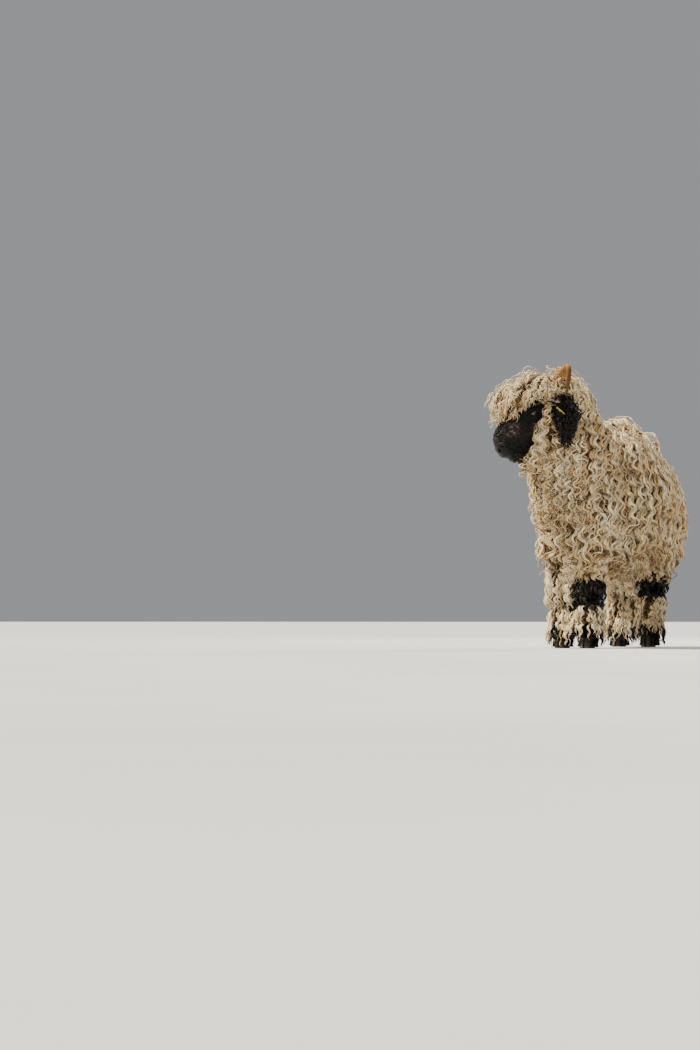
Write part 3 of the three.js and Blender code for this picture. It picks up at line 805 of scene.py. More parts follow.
LOCK_ROLL = 0.5  # how far it turns with its place in the lock
BEYOND = 0.012  # how far a lock's middle line may reach past the solids' box

# The least and the most that chance gives, as shares
REACH = (0.86, 1.0)  # of a lock's path that a strand runs
PACE = (0.92, 1.08)
COLUMN_LOCK_PACE = (0.97, 1.03)
LOCK_SWING = (0.65, 1.2)
STRAND_SWING = (0.88, 1.12)
STRAND_WIDTH = (0.78, 1.15)

# How the strands of a lock lie together
BUNDLE = 0.24  # half its width, as a share of the style's
BUNDLE_TAPER = 0.65
BUNDLE_FLATNESS = 0.6
SPREAD_ROOT = 0.3  # how far its strands' roots stand apart, as a share of the spacing
SPREAD_END = 9  # how fast they come together
STRAND_THICKNESS = 0.5  # of its width
STRAND_OVERLAP = 1.05  # how much broader strands are than would fill the lock
TIP_WIDTH = 0.06  # of the strand's full width
ROOT_WIDTH = 0.55

# The wool's look, with its painted shade, and map
HEIGHT_SHADE = 0.65  # painted shade: how much of a lock's tone comes from how far out it lies, deeper locks darker
LOCK_TONE = 0.2  # from chance
RIDGE_SHADE = 0.12  # painted light and shade: lighter in the middle of its column, darker in the gaps
STRAND_TONE = 0.15  # and from chance for each strand
PATCH = 0.003  # how wide a lock is on the coat's map
TONE_OFFSET = 40  # how far apart the fibres of two strands lie in their pattern
FIBRE_SCALE = 20  # units of the pattern along a metre
MOST_TRIANGLES = 190000  # in one piece


def grid(values):
    """One value for each lock or strand, set out to fit its points."""
    return values[:, None, None]


class Wool:
    """Locks of one style, kept as arrays until they are made into pieces."""

    def __init__(self, coat, form, names, style, lean, stop, where):
        self.style = style
        self.rng = coat.rng
        spacing = style.spacing * 1
        places, normals, self.uvs = coat.roots.on(names, spacing, where)
        path, outs, height = lay(form, places, normals, lean(places, normals), style, self.rng)
        self.strand = np.tile(np.arange(style.strands), len(path))
        self.lock = np.repeat(np.arange(len(path)), style.strands)
        self.comb(path, outs, height, kept(path, stop, self.rng))

    def comb(self, path, outs, height, reach):
        """Lays curled strands along each path, and turns their flat sides with the curls."""
        share = np.linspace(0, 1, self.style.steps + 1)
        place = reach[self.lock] * self.rng.uniform(*REACH, (len(self.lock), 1)) * share
        line = along_path(path[self.lock], place)
        out = unit(along_path(outs[self.lock], place))
        lengths = np.linalg.norm(np.diff(line, axis=1, prepend=line[:, :1]), axis=2)[..., None]
        hooked = self.style.hook * np.clip((HOOK_TOP - line[..., 2:]) / HOOK_DEPTH, 0, 1)
        run = np.cumsum(lengths * (1 - HOOK_SLOWING * hooked), axis=1)
        line, ridge, turn = self.turning(path, line, out, run)
        line, angle = self.curled(line, out, share[None, :, None], hooked, turn)
        least, most = (np.array(corner) for corner in cad_bounds)
        line = np.clip(line, least - BEYOND, most + BEYOND)
        line[:, :, 2] = np.maximum(line[:, :, 2], LEAST_HEIGHT)
        along = unit(np.gradient(line, axis=1))
        across = unit(np.cross(along, out))
        out = np.cross(across, along)
        roll = ROLL * np.sin(turn + ROLL_LEAD) + LOCK_ROLL * np.sin(angle)
        self.line = line
        self.across = across * np.cos(roll) + out * np.sin(roll)
        self.out = out * np.cos(roll) - across * np.sin(roll)
        self.length = run[:, -1, 0]
        self.color(height, ridge)

    def turning(self, path, line, out, run):
        """How far each curl has turned at each place, so that neighbours curl nearly in step.
        Also gathers the locks of some styles into columns."""
        style = self.style
        locks = len(path)
        waver = drift(path[:, WAVER_AT])
        if style.column:
            line, ridge, column = self.gather(path, line, out, waver)
            pace = (1 + COLUMN_PACE * grid(column)) * self.rng.uniform(*COLUMN_LOCK_PACE, (locks, 1, 1))
            mess = LEAST_TURN + COLUMN_MESS * style.mess
            own = COLUMN_TURN * column + self.rng.normal(0, mess, locks)
        else:
            ridge = np.zeros(locks)
            pace = self.rng.uniform(*PACE, (locks, 1, 1))
            own = self.rng.normal(0, LEAST_TURN + MESS * style.mess, locks)
        own = own + WAVER_TURN * waver
        pace = style.period * pace[self.lock]
        middle = int(style.steps * IN_STEP)
        step_in = line[:, middle, 2:] / style.period + run[:, middle] / pace[:, 0]
        phase = grid(own[self.lock]) - math.tau * step_in[:, None]
        phase = phase + self.rng.normal(0, STRAND_TURN, (len(self.lock), 1, 1))
        return line, ridge, phase + math.tau * run / pace

    def curled(self, line, out, share, hooked, turn):
        """The strands swung to and fro along their line, and each one's angle in its lock."""
        style = self.style
        locks = len(self.uvs)
        along = unit(np.gradient(line, axis=1))
        across = unit(np.cross(along, out))
        rear = np.clip((line[..., 1:2] - CALM_FROM) / CALM_OVER, 0, 1)
        top = np.clip((line[..., 2:] - CALM_HEIGHT) / CALM_OVER, 0, 1)
        growing = np.clip(share * CURL_START, 0, 1) * (CURL_ROOT + CURL_GROWTH * share)
        swing = style.wave * growing * (1 + HOOK_SWING * hooked)
        swing = swing * (1 - style.calm * np.maximum(rear, top))
        swing = swing * self.rng.uniform(*LOCK_SWING, (locks, 1, 1))[self.lock]
        swing = swing * self.rng.uniform(*STRAND_SWING, (len(self.lock), 1, 1))
        start = self.rng.uniform(0, math.tau, locks)[self.lock]
        angle = grid(math.tau * self.strand / style.strands + start)
        bundle = style.width * BUNDLE * (1 - BUNDLE_TAPER * share**2)
        bundle = bundle + style.spacing * SPREAD_ROOT * np.exp(-share * SPREAD_END)
        bundle = bundle * (style.strands > 1)
        line = line + across * (swing * np.sin(turn) + bundle * np.cos(angle))
        line = line + out * (swing * COIL * np.cos(turn) + bundle * BUNDLE_FLATNESS * np.sin(angle))
        return line - along * (swing * ROUNDNESS * np.sin(2 * turn)), angle

    def color(self, height, ridge):
        """Sets each strand's tone, mostly painted shade that darkens deeper locks and the gaps between
        columns, with some chance, and its width.
        """
        count = len(self.lock)
        chance = self.rng.uniform(0, 1, len(height))
        # painted shade by depth in the wool and by column, with a part from chance
        shade = HEIGHT_SHADE * height + LOCK_TONE * chance + RIDGE_SHADE * ridge
        self.shade_and_tone = shade[self.lock] + self.rng.uniform(0, STRAND_TONE, count)
        breadth = self.style.width * STRAND_OVERLAP / math.sqrt(self.style.strands)
        self.width = breadth * self.rng.uniform(*STRAND_WIDTH, count)

    def gather(self, path, line, out, waver):
        """Draws the locks together into columns down the coat, with gaps between them. Also tells
        how near each lock is to the middle of its column, and a chance value of that column."""
        width = self.style.column
        turns = math.tau * line[..., :2] / width + COLUMN_WAVER * grid(waver[self.lock])
        facing = np.abs(out[..., 1::-1])
        line = line.copy()
        line[..., :2] -= GATHERING * width / math.tau * np.sin(turns) * facing
        middle = CONTROLS // 2
        turns = math.tau * path[:, middle, :2] / width + COLUMN_WAVER * waver[:, None]
        sideways = np.abs(out[:: self.style.strands, out.shape[1] // 2, :2])
        on_flank = sideways[:, 0] > sideways[:, 1]
        number = np.round(turns / math.tau).astype(int)
        chosen = np.where(on_flank, number[:, 1], number[:, 0] + COLUMN_LUCK // 2)
        ridge = np.cos(np.where(on_flank, turns[:, 1], turns[:, 0]))
        line += out * grid(COLUMN_RELIEF * ridge[self.lock])
        return line, ridge, self.rng.normal(0, 1, COLUMN_LUCK)[chosen % COLUMN_LUCK]

    def triangles(self):
        return len(self.shade_and_tone) * (6 * self.style.steps + 4)

    def parts(self):
        """The strands in sets that each stay under the most triangles, from head to rump."""
        order = np.argsort(self.line[:: self.style.strands, 0, 1])
        sets = np.array_split(order, math.ceil(self.triangles() / MOST_TRIANGLES))
        each = np.arange(self.style.strands)
        return [np.sort((locks[:, None] * self.style.strands + each).ravel()) for locks in sets]

    def piece(self, name, chosen):
        """The chosen strands as one mesh: three-sided, tapered and closed at both ends."""
        line, across, out = self.line[chosen], self.across[chosen], self.out[chosen]
        count, rings = line.shape[:2]
        share = np.linspace(0, 1, rings)
        full = TIP_WIDTH + (1 - TIP_WIDTH) * (1 - share**3)
        full = full * (ROOT_WIDTH + (1 - ROOT_WIDTH) * np.clip(share * 5, 0, 1))
        half = grid(self.width[chosen]) / 2 * full[None, :, None]
        high = half * STRAND_THICKNESS * 2
        corners = np.stack([line - across * half, line + across * half, line + out * high], axis=2)
        tips = line[:, -1] * 2 - line[:, -2]
        tips[:, 2] = np.maximum(tips[:, 2], LEAST_HEIGHT)
        points = np.concatenate([corners.reshape(count, rings * 3, 3), tips[:, None]], axis=1)
        faces, sheet = lock_faces(rings)
        each = rings * 3 + 1
        every = faces[None] + grid(np.arange(count) * each)
        mesh = bpy.data.meshes.new(name)
        mesh.vertices.add(count * each)
        mesh.vertices.foreach_set("co", points.astype(np.float32).ravel())
        total = count * len(faces)
        mesh.loops.add(total * 3)
        mesh.loops.foreach_set("vertex_index", every.astype(np.int32).ravel())
        mesh.polygons.add(total)
        mesh.polygons.foreach_set("loop_start", np.arange(0, total * 3, 3, dtype=np.int32))
        sheet = np.tile(sheet.reshape(1, -1, 2), (count, 1, 1))
        beside = sheet.copy()
        beside[..., 0] = (beside[..., 0] + self.strand[chosen][:, None]) / self.style.strands
        place = self.uvs[self.lock[chosen]][:, None] + (beside - 0.5) * PATCH
        baked = mesh.uv_layers.new(name="OFBake")
        baked.uv.foreach_set("vector", place.astype(np.float32).ravel())
        shade_and_tone = self.shade_and_tone[chosen]
        sheet[..., 0] += TONE_OFFSET * shade_and_tone[:, None]
        sheet[..., 1] *= FIBRE_SCALE * self.length[chosen][:, None]
        mesh.uv_layers.new(name="Strand").uv.foreach_set("vector", sheet.astype(np.float32).ravel())
        tip = np.append(np.repeat(share, 3), 1)
        set_number(mesh, "tip", np.tile(tip, count))
        set_number(mesh, "shade_and_tone", np.repeat(shade_and_tone, each))
        mesh.validate()
        mesh.update()
        mesh.shade_smooth()
        return put(name, mesh)


def lock_faces(rings):
    """The faces of one lock and where their corners lie across and along it."""
    faces = []
    sheet = []
    for ring in range(rings - 1):
        low, high = ring / rings, (ring + 1) / rings
        for side in range(3):
            a = ring * 3 + side
            b = ring * 3 + (side + 1) % 3
            left, right = side / 3, (side + 1) / 3
            faces += [(a, b, b + 3), (a, b + 3, a + 3)]
            sheet += [((left, low), (right, low), (right, high))]
            sheet += [((left, low), (right, high), (left, high))]
    end = rings * 3
    last = end - 3
    top = (rings - 1) / rings
    for side in range(3):
        left, right = side / 3, (side + 1) / 3
        faces.append((last + side, last + (side + 1) % 3, end))
        sheet.append(((left, top), (right, top), ((left + right) / 2, 1)))
    faces.append((0, 2, 1))
    sheet.append(((0, 0), (0.5, 0), (0.25, 0.01)))
    return np.array(faces), np.array(sheet)


# Ways the coat lies
PARTING = 0.04  # half the width over which locks turn from one side to the other
BROW_PARTING = 0.03  # the same along the head, between forward and back


def falls(places, normals):
    """Down from the parting along the spine, and a little back."""
    lean = np.zeros_like(places)
    lean[:, 0] = np.clip(places[:, 0] / PARTING, -1, 1) * 0.6
    lean[:, 1] = 0.15
    lean[:, 2] = -1
    return lean


def hangs(places, normals):
    return np.tile(DOWN, (len(places), 1))


def forelock(places, normals):
    """Forward over the brow, out to the sides, and back behind the horns."""
    spot = in_head(places)
    ways = np.zeros_like(places)
    ways[:, 0] = np.clip(spot[:, 0] / BROW_PARTING, -1, 1)
    ways[:, 2] = spot[:, 2] * 12
    return from_head(ways)


def back_from_nose(places, normals):
    return np.tile(from_head(np.array([-1, -0.2, 0])), (len(places), 1))


def down_ear(places, normals):
    return np.tile(from_head(np.array([0.5, -1, 0])), (len(places), 1))


# Where the coat ends
FLEECE_HEM = 0.232  # height of the long wool's lower edge
FLEECE_LUCK = 0.016  # how far single locks end above or under it
KNEE_TOP = 0.222  # where black wool follows the cream on her left legs
KNEE_LUCK = 0.014
COVERED_KNEE_HEM = 0.120  # where the cream ends on her right legs, over the knee and the hock
COVERED_KNEE_LUCK = 0.02
TOPKNOT_HEM = 0.056  # how high over the head's axis the topknot ends
TOPKNOT_LUCK = 0.012
TOPKNOT_DROP = 1.6  # how steeply its hem drops behind the brow's start
BROW_REAR = 0.055  # how far along the head the brow starts
CHEEK_FRONT = (0.072, 0.046)  # where the cheek wool's front edge starts under the topknot
CHEEK_MARGIN = 0.006  # how far before that it may reach
CHEEK_BULGE = 0.12  # how much the cheek wool comes forward as it goes down
CHEEK_FALL = 0.1  # how far down it does
CHEEK_LUCK = 0.009
HORN_CLEARANCE = 0.006
HORN_SUNK = 8  # how many of 30 places along a horn lie in the wool
EAR_DEPTH = 0.012  # how far inside its middle an ear starts
EAR_SHOWN = 0.92  # how much of its width must stay free
TAG_CLEARANCE = 0.016
BARE_NOSE = 0.247  # how far along the head its short hair ends


def by_horn(spots):
    """Whether places in head axes lie against a horn."""
    horn = thread(HORN_LINE, 30)[HORN_SUNK:]
    away = np.linalg.norm(folded(spots)[..., None, :] - horn[:, :3], axis=-1)
    return (away < horn[:, 3] + HORN_CLEARANCE).any(axis=-1)


def before_ear(spots):
    """Whether places in head axes would hide an ear."""
    ear = thread(EAR_LINE, 24)
    away = np.linalg.norm(spots[..., None, :2] - ear[:, :2], axis=-1)
    beyond = np.abs(spots[..., 2:]) > ear[:, 2] - EAR_DEPTH
    return ((away < ear[:, 3] * EAR_SHOWN) & beyond).any(axis=-1)


def bare(places, luck=0.0):
    """Whether places would hide a horn, an ear or the tag."""
    spots = in_head(places)
    return by_horn(spots) | before_ear(spots) | by_tag(places)


def fleece_ends(places, luck):
    return (places[..., 2] < FLEECE_HEM + FLEECE_LUCK * luck) | bare(places)


def topknot_ends(places, luck):
    """The hem lies over the brow in front, and drops behind the eye to where the ears grow."""
    spots = in_head(places)
    drop = TOPKNOT_DROP * np.maximum(BROW_REAR - spots[..., 0], 0)
    return (spots[..., 1] < TOPKNOT_HEM + TOPKNOT_LUCK * luck - drop) | bare(places)


def before_cheek(places, luck=0.0):
    """Whether places lie on the bare face, in front of the cheek wool."""
    spots = in_head(places)
    level, plumb = CHEEK_FRONT[0] - spots[..., 0], CHEEK_FRONT[1] - spots[..., 1]
    ahead = -level * math.cos(HEAD_PITCH) - plumb * math.sin(HEAD_PITCH)
    bulge = CHEEK_BULGE * np.clip(plumb, 0, CHEEK_FALL)
    return ahead > CHEEK_MARGIN + bulge + CHEEK_LUCK * luck


def cheek_ends(places, luck):
    return before_cheek(places, luck) | bare(places)


def above_knee_ends(places, luck):
    return places[..., 2] < KNEE_TOP + KNEE_LUCK * luck


def covered_knee_ends(places, luck):
    return places[..., 2] < COVERED_KNEE_HEM + COVERED_KNEE_LUCK * luck


def by_tag(places, luck=0.0):
    """Whether places lie in front of the ear tag."""
    away = np.linalg.norm(places - np.array(middle("ear_tag")), axis=-1)
    return away < TAG_CLEARANCE


# Where some of it grows
TOP_FACING = 0.50  # how far up the skin must face
THROAT_TOP = -0.04  # over the head's axis
THROAT_BREADTH = 0.055  # half of it
THROAT_FACING = -0.2  # how far it must face ahead
THROAT_FOOT = 0.44  # over the floor
JAW_REACH = (0.13, 0.225)  # along the head
JAW_FACING = -0.45  # how far it must face under the head
EYE_FREE = 1.15  # of the eye's radius
MOST_THIN = {"ear": 0.5, "face": 0.3}  # how thin the hair may be where it's still made


def on_crown(places, normals):
    spots = in_head(places)
    return (spots[:, 0] < BROW_REAR) | (spots[:, 1] > TOPKNOT_HEM)


def on_top(places, normals):
    return normals[:, 2] > TOP_FACING


def on_cheek(places, normals):
    return ~before_cheek(places, -1.0)


def on_throat(places, normals):
    """Under the chin and down the front of the neck, where the solids meet in a deep fold."""
    spots = in_head(places)
    under = (spots[:, 1] < THROAT_TOP) & (np.abs(spots[:, 2]) < THROAT_BREADTH)
    return under & (normals @ HEAD_AXES[0] > THROAT_FACING) & (places[:, 2] > THROAT_FOOT)


def on_ear(places, normals):
    return (worn_thin(places) < MOST_THIN["ear"]) & ~by_tag(places)


def on_jaw(places, normals):
    along = in_head(places)[:, 0]
    return (along > JAW_REACH[0]) & (along < JAW_REACH[1]) & (normals @ HEAD_AXES[1] < JAW_FACING)


def on_face(places, normals):
    """Away from the eyes and from the bare end of the nose and lips."""
    spots = folded(in_head(places))
    away = np.linalg.norm(spots - np.array(EYE_PLACE), axis=-1)
    haired = (spots[:, 0] < BARE_NOSE) & (worn_thin(places) < MOST_THIN["face"])
    return (away > EYE_RADIUS * EYE_FREE) & haired


# Finishes
class Value:
    """A shader socket, so that maths on it reads as maths."""

    def __init__(self, paint, socket):
        self.paint = paint
        self.socket = socket

    def maths(self, operation, *others):
        return self.paint.node("Math", {"operation": operation}, self, *others)

    def __add__(self, other):
        return self.maths("ADD", other)

    def __sub__(self, other):
        return self.maths("SUBTRACT", other)

    def __rsub__(self, other):
        return self.paint.node("Math", {"operation": "SUBTRACT"}, other, self)

    def __mul__(self, other):
        return self.maths("MULTIPLY", other)

    __radd__ = __add__
    __rmul__ = __mul__

    def __pow__(self, other):
        return self.maths("POWER", other)

    def between(self, low, high):
        """0 up to low, 1 from high, and a smooth step between them."""
        settings = {"interpolation_type": "SMOOTHSTEP"}
        return self.paint.node("MapRange", settings, self, low, high)


class Paint:
    """A material built from nodes."""

    def __init__(self, name):
        self.material = bpy.data.materials.new(name)
        self.material.use_nodes = True
        self.tree = self.material.node_tree
        self.shader = next(n for n in self.tree.nodes if n.type == "BSDF_PRINCIPLED")

    def node(self, kind, settings, *inputs, output=0, named=None):
        """A node's output. Settings come first, then the values or links of its sockets."""
        made = self.tree.nodes.new("ShaderNode" + kind)
        for setting, value in settings.items():
            setattr(made, setting, value)
        sockets = [(made.inputs[k], value) for k, value in enumerate(inputs)]
        sockets += [(made.inputs[name], value) for name, value in (named or {}).items()]
        for socket, value in sockets:
            self.feed(socket, value)
        return Value(self, made.outputs[output])

    def feed(self, socket, value):
        if isinstance(value, Value):
            self.tree.links.new(value.socket, socket)
        elif value is not None:
            socket.default_value = value

    def attribute(self, name):
        return self.node("Attribute", {"attribute_name": name}, output="Fac")

    def place(self):
        return self.node("TexCoord", {}, output="Object")

    def strand(self):
        return self.node("UVMap", {"uv_map": "Strand"})

    def noise(self, vector, scale, detail=3.0, rough=0.55):
        named = {"Vector": vector, "Scale": scale, "Detail": detail, "Roughness": rough}
        return self.node("TexNoise", {}, named=named)

    def streaks(self, vector, *scale, **settings):
        """Noise drawn out along the axes whose scale is small."""
        drawn = self.node("Mapping", {}, named={"Vector": vector, "Scale": scale})
        return self.noise(drawn, 1.0, **settings)

    def mix(self, factor, first, second):
        """A colour between two colours."""
        named = {0: factor, 6: first, 7: second}
        return self.node("Mix", {"data_type": "RGBA"}, named=named, output=2)

    def bump(self, height, distance, strength=1.0):
        named = {"Strength": strength, "Distance": distance, "Height": height}
        return self.node("Bump", {}, named=named)

    def finish(self, color, roughness, normal=None, **fixed):
        self.feed(self.shader.inputs["Base Color"], color)
        self.feed(self.shader.inputs["Roughness"], roughness)
        self.feed(self.shader.inputs["Normal"], normal)
        for name, value in fixed.items():
            label = name.replace("_", " ").title().replace("Ior", "IOR")
            self.shader.inputs[label].default_value = value
        return self.material


def rgb(red, green, blue):
    return (red, green, blue, 1.0)


def cream_wool():
    """Cream locks: brown at the root as painted shade between locks, paler to the tip, with golden patches;
    deeper locks and gaps between columns dark brown as painted shade, and the outermost locks paler as
    painted light.
    """
    paint = Paint("cream_wool")
    tip = paint.attribute("tip")
    shade_and_tone = paint.attribute("shade_and_tone")
    place = paint.place()
    fibres = paint.streaks(paint.strand(), 14.0, 1.6, 1.0, detail=4.0)
    patches = paint.noise(place, 9.0).between(0.42, 0.66)
    # painted shade: dark brown where a lock meets the skin, for the gaps between locks
    root = rgb(0.120, 0.058, 0.020)
    painted_wool_shade = rgb(0.210, 0.112, 0.040)
    cream = rgb(0.770, 0.545, 0.260)
    gold = rgb(0.640, 0.390, 0.140)
    white = rgb(0.920, 0.785, 0.520)
    color = paint.mix(patches * 0.6, cream, gold)
    # painted shade: deeper locks and column gaps turn dark brown
    color = paint.mix((1 - shade_and_tone.between(0.14, 0.62)) * 0.92, color, painted_wool_shade)
    # painted light: outer locks and column middles pale towards white, some by chance
    color = paint.mix(shade_and_tone.between(0.62, 0.95) * 0.85, color, white)
    # painted shade at the roots
    color = paint.mix((1 - tip.between(0.0, 0.36)) * 0.85, color, root)
    color = paint.mix(fibres.between(0.45, 0.80) * 0.42, color, root)
    normal = paint.bump(fibres, 0.0012, 0.7)
    return paint.finish(color, 0.55, normal, sheen_weight=0.25, sheen_roughness=0.4)


def black_wool():
    """Black locks with a brown cast at the tips, weaker on deeper locks as painted shade."""
    paint = Paint("black_wool")
    tip = paint.attribute("tip")
    shade_and_tone = paint.attribute("shade_and_tone")
    fibres = paint.streaks(paint.strand(), 12.0, 1.6, 1.0, detail=4.0)
    black = rgb(0.0070, 0.0056, 0.0050)
    brown = rgb(0.036, 0.022, 0.013)
    grey = rgb(0.036, 0.031, 0.027)
    color = paint.mix(tip.between(0.5, 1.0) * shade_and_tone * 0.6, black, brown)
    color = paint.mix(fibres.between(0.55, 0.8) * 0.30, color, grey)
    normal = paint.bump(fibres, 0.0008, 0.6)
    return paint.finish(color, 0.55, normal, specular_ior_level=0.28)


def skin_finish():
    """Black haired skin on the face, ears and joints, with a pinkish-grey mottle where the hair is worn thin,
    partly painted highlight on short hair, and dark brown under the fleece as painted shade, so that gaps
    between locks read as wool in shadow."""
    paint = Paint("skin")
    black = paint.attribute("black").between(0.35, 0.65)
    thin = paint.attribute("thin")
    place = paint.place()
    hair = paint.streaks(place, 420.0, 420.0, 260.0, detail=4.0, rough=0.65)
    patches = paint.noise(place, 34.0, detail=4.0).between(0.5, 0.72)
    mottle = paint.noise(place, 120.0, detail=5.0, rough=0.6)
    dark = paint.mix(patches * 0.45, rgb(0.0045, 0.0038, 0.0036), rgb(0.013, 0.010, 0.009))
    dark = paint.mix(hair.between(0.5, 0.75) * 0.3, dark, rgb(0.018, 0.014, 0.012))
    # pinkish-grey mottle where the hair is thin, partly a painted highlight on short hair
    dark = paint.mix(mottle.between(0.46, 0.60) * thin, dark, rgb(0.135, 0.088, 0.074))
    # painted shade: the skin under the fleece coloured as wool in shadow
    painted_wool_shade = paint.mix(hair.between(0.40, 0.62), rgb(0.110, 0.058, 0.022), rgb(0.330, 0.205, 0.090))
    color = paint.mix(black, painted_wool_shade, dark)
    roughness = 0.60 - patches * 0.16
    normal = paint.bump(hair + mottle * thin, 0.0014, 0.8)
    return paint.finish(color, roughness, normal, specular_ior_level=0.22)


def horn_finish():
    """Tan horn with dark rings, darker brown from a little past its middle, greyer to the tip."""
    paint = Paint("ridged_horn")
    along = paint.attribute("along")
    grain = paint.streaks(paint.place(), 300.0, 300.0, 120.0, detail=5.0)
    rings = paint.noise(paint.node("CombineXYZ", {}, along * 46.0), 1.0, detail=2.0)
    color = paint.mix(rings.between(0.4, 0.7) * 0.7, rgb(0.360, 0.190, 0.052), rgb(0.190, 0.084, 0.020))
    color = paint.mix(grain.between(0.45, 0.75) * 0.5, color, rgb(0.090, 0.038, 0.010))
    color = paint.mix(along.between(0.56, 0.66) * 0.9, color, rgb(0.105, 0.040, 0.011))
    color = paint.mix(along.between(0.88, 1.0) * 0.8, color, rgb(0.070, 0.055, 0.045))
    normal = paint.bump(grain + rings * 2.0, 0.0016, 0.9)
    return paint.finish(color, 0.62, normal, specular_ior_level=0.22)


def hoof_finish():
    """Dull dark hoof with growth rings and chalky wear at the sole."""
    paint = Paint("claw")
    place = paint.place()
    rings = paint.streaks(place, 12.0, 12.0, 420.0)
    height = paint.node("SeparateXYZ", {}, place, output=2)
    wear = (1 - height.between(0.0, 0.012)) * 0.5
    color = paint.mix(rings.between(0.4, 0.7) * 0.6, rgb(0.026, 0.020, 0.016), rgb(0.085, 0.066, 0.050))
    color = paint.mix(wear, color, rgb(0.200, 0.170, 0.135))
    return paint.finish(color, 0.48, paint.bump(rings, 0.0006, 0.7))


def eye_finish():
    """Amber eye with a level dark slot for its pupil, under a wet clear coat. The eye's places
    are read in metres from its middle."""
    paint = Paint("wet_eye")
    level = paint.attribute("level")
    upright = paint.attribute("upright")
    ahead = paint.attribute("ahead")
    radius = (level * level + upright * upright) ** 0.5
    spokes = paint.streaks(paint.place(), 900.0, 900.0, 900.0)
    iris = paint.mix(spokes, rgb(0.090, 0.042, 0.011), rgb(0.034, 0.014, 0.005))
    iris = paint.mix(radius.between(0.0066, 0.0092), iris, rgb(0.010, 0.006, 0.004))
    slot = (level * 0.42) * (level * 0.42) + upright * upright
    pupil = 1 - (slot**0.5).between(0.0019, 0.0024)
    white = paint.mix(spokes * 0.5, rgb(0.050, 0.036, 0.028), rgb(0.025, 0.016, 0.012))
    color = paint.mix(radius.between(0.0092, 0.0100), iris, white)
    color = paint.mix(pupil * ahead.between(0.0, 0.004), color, rgb(0.002, 0.002, 0.003))
    return paint.finish(color, 0.22, coat_weight=0.5, coat_roughness=0.05)


def tag_finish():
    paint = Paint("yellow_tag")
    scuffs = paint.noise(paint.place(), 260.0, detail=4.0).between(0.5, 0.75)
    color = paint.mix(scuffs * 0.3, rgb(0.600, 0.560, 0.050), rgb(0.330, 0.300, 0.060))
    return paint.finish(color, 0.38 + scuffs * 0.2, paint.bump(scuffs, 0.0002, 0.5))


def floor_finish():
    paint = Paint("pale_floor")
    mottle = paint.noise(paint.place(), 1.4, detail=4.0)
    color = paint.mix(mottle.between(0.3, 0.7), rgb(0.60, 0.605, 0.61), rgb(0.66, 0.66, 0.655))
    return paint.finish(color, 0.85)


def dress(piece, material, slot, *replaced):
    """Gives a piece its finish and its body, and hides the nodes it stands for. The slot is not used."""
    piece.data.materials.clear()
    piece.data.materials.append(material)
    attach(piece, "root")
    if replaced:
        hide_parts(*replaced)


# Eyes and lids
GAZE_AHEAD = 0.34  # how much an eye looks to the nose, beside straight out
GAZE_UP = 0.06
CORNEA = 0.07  # how far the clear front stands out, against the eye's radius
CORNEA_START = 0.75  # from the eye's middle, against its radius
LID_GAP = 0.0014  # between the eye and the inside of its lids
LID_THICK = 0.0022
LID_EDGE = 0.0007  # the roundness of a lid's edge
LID_BACK = 0.003  # how far behind the eye's middle the lids reach
LID_OPENING = {True: math.radians(17), False: math.radians(22)}  # of the upper and the lower lid


def gaze_of(hand):
    """The way an eye looks, and the level way across it to the nose."""
    gaze = (head_side * hand + head_along * GAZE_AHEAD + head_over * GAZE_UP).normalized()
    return gaze, (head_along - gaze * head_along.dot(gaze)).normalized()


def make_eye(name, hand):
    """A ball with a raised clear front, and its places measured across and along its gaze."""
    gaze, level = gaze_of(hand)
    bpy.ops.mesh.primitive_uv_sphere_add(segments=40, ring_count=24, radius=EYE_RADIUS)
    piece = bpy.context.object
    piece.name = "eyeball_" + name
    turn = turned_to(gaze, head_over)
    vertices = piece.data.vertices
    for vertex in vertices:
        front = max(0, vertex.co.z / EYE_RADIUS - CORNEA_START) / (1 - CORNEA_START)
        vertex.co = turn @ (vertex.co * (1 + CORNEA * front))
    ways = {"level": level, "upright": level.cross(gaze) * -hand, "ahead": gaze}
    for key, way in ways.items():
        set_number(piece.data, key, np.array([vertex.co.dot(way) for vertex in vertices]))
    piece.data.transform(Matrix.Translation(middle("eye_" + name)))
    return smooth(piece)


def make_lid(name, hand, upper):
    """Half of a shell round the eye, cut along the lid's margin and thickened."""
    centre = middle("eye_" + name)
    gaze, level = gaze_of(hand)
    up = (head_over - gaze * head_over.dot(gaze) - level * head_over.dot(level)).normalized()
    bpy.ops.mesh.primitive_uv_sphere_add(segments=40, ring_count=26, radius=EYE_RADIUS + LID_GAP)
    piece = bpy.context.object
    piece.name = ("upper_lid_" if upper else "lower_lid_") + name
    piece.data.transform(turned_to(gaze, head_over).to_4x4())
    piece.data.transform(Matrix.Translation(centre))
    opening = LID_OPENING[upper]
    margin = up * math.cos(opening) * (1 if upper else -1) - gaze * math.sin(opening)
    cut = {"plane_co": centre, "plane_no": margin, "clear_inner": True}
    back = {"plane_co": centre - gaze * LID_BACK, "plane_no": gaze, "clear_inner": True}
    edit(piece, (bpy.ops.mesh.bisect, cut), (bpy.ops.mesh.bisect, back))
    modify(piece, "SOLIDIFY", thickness=LID_THICK, offset=1)
    modify(piece, "BEVEL", width=LID_EDGE, segments=3)
    return smooth(tidy(piece))


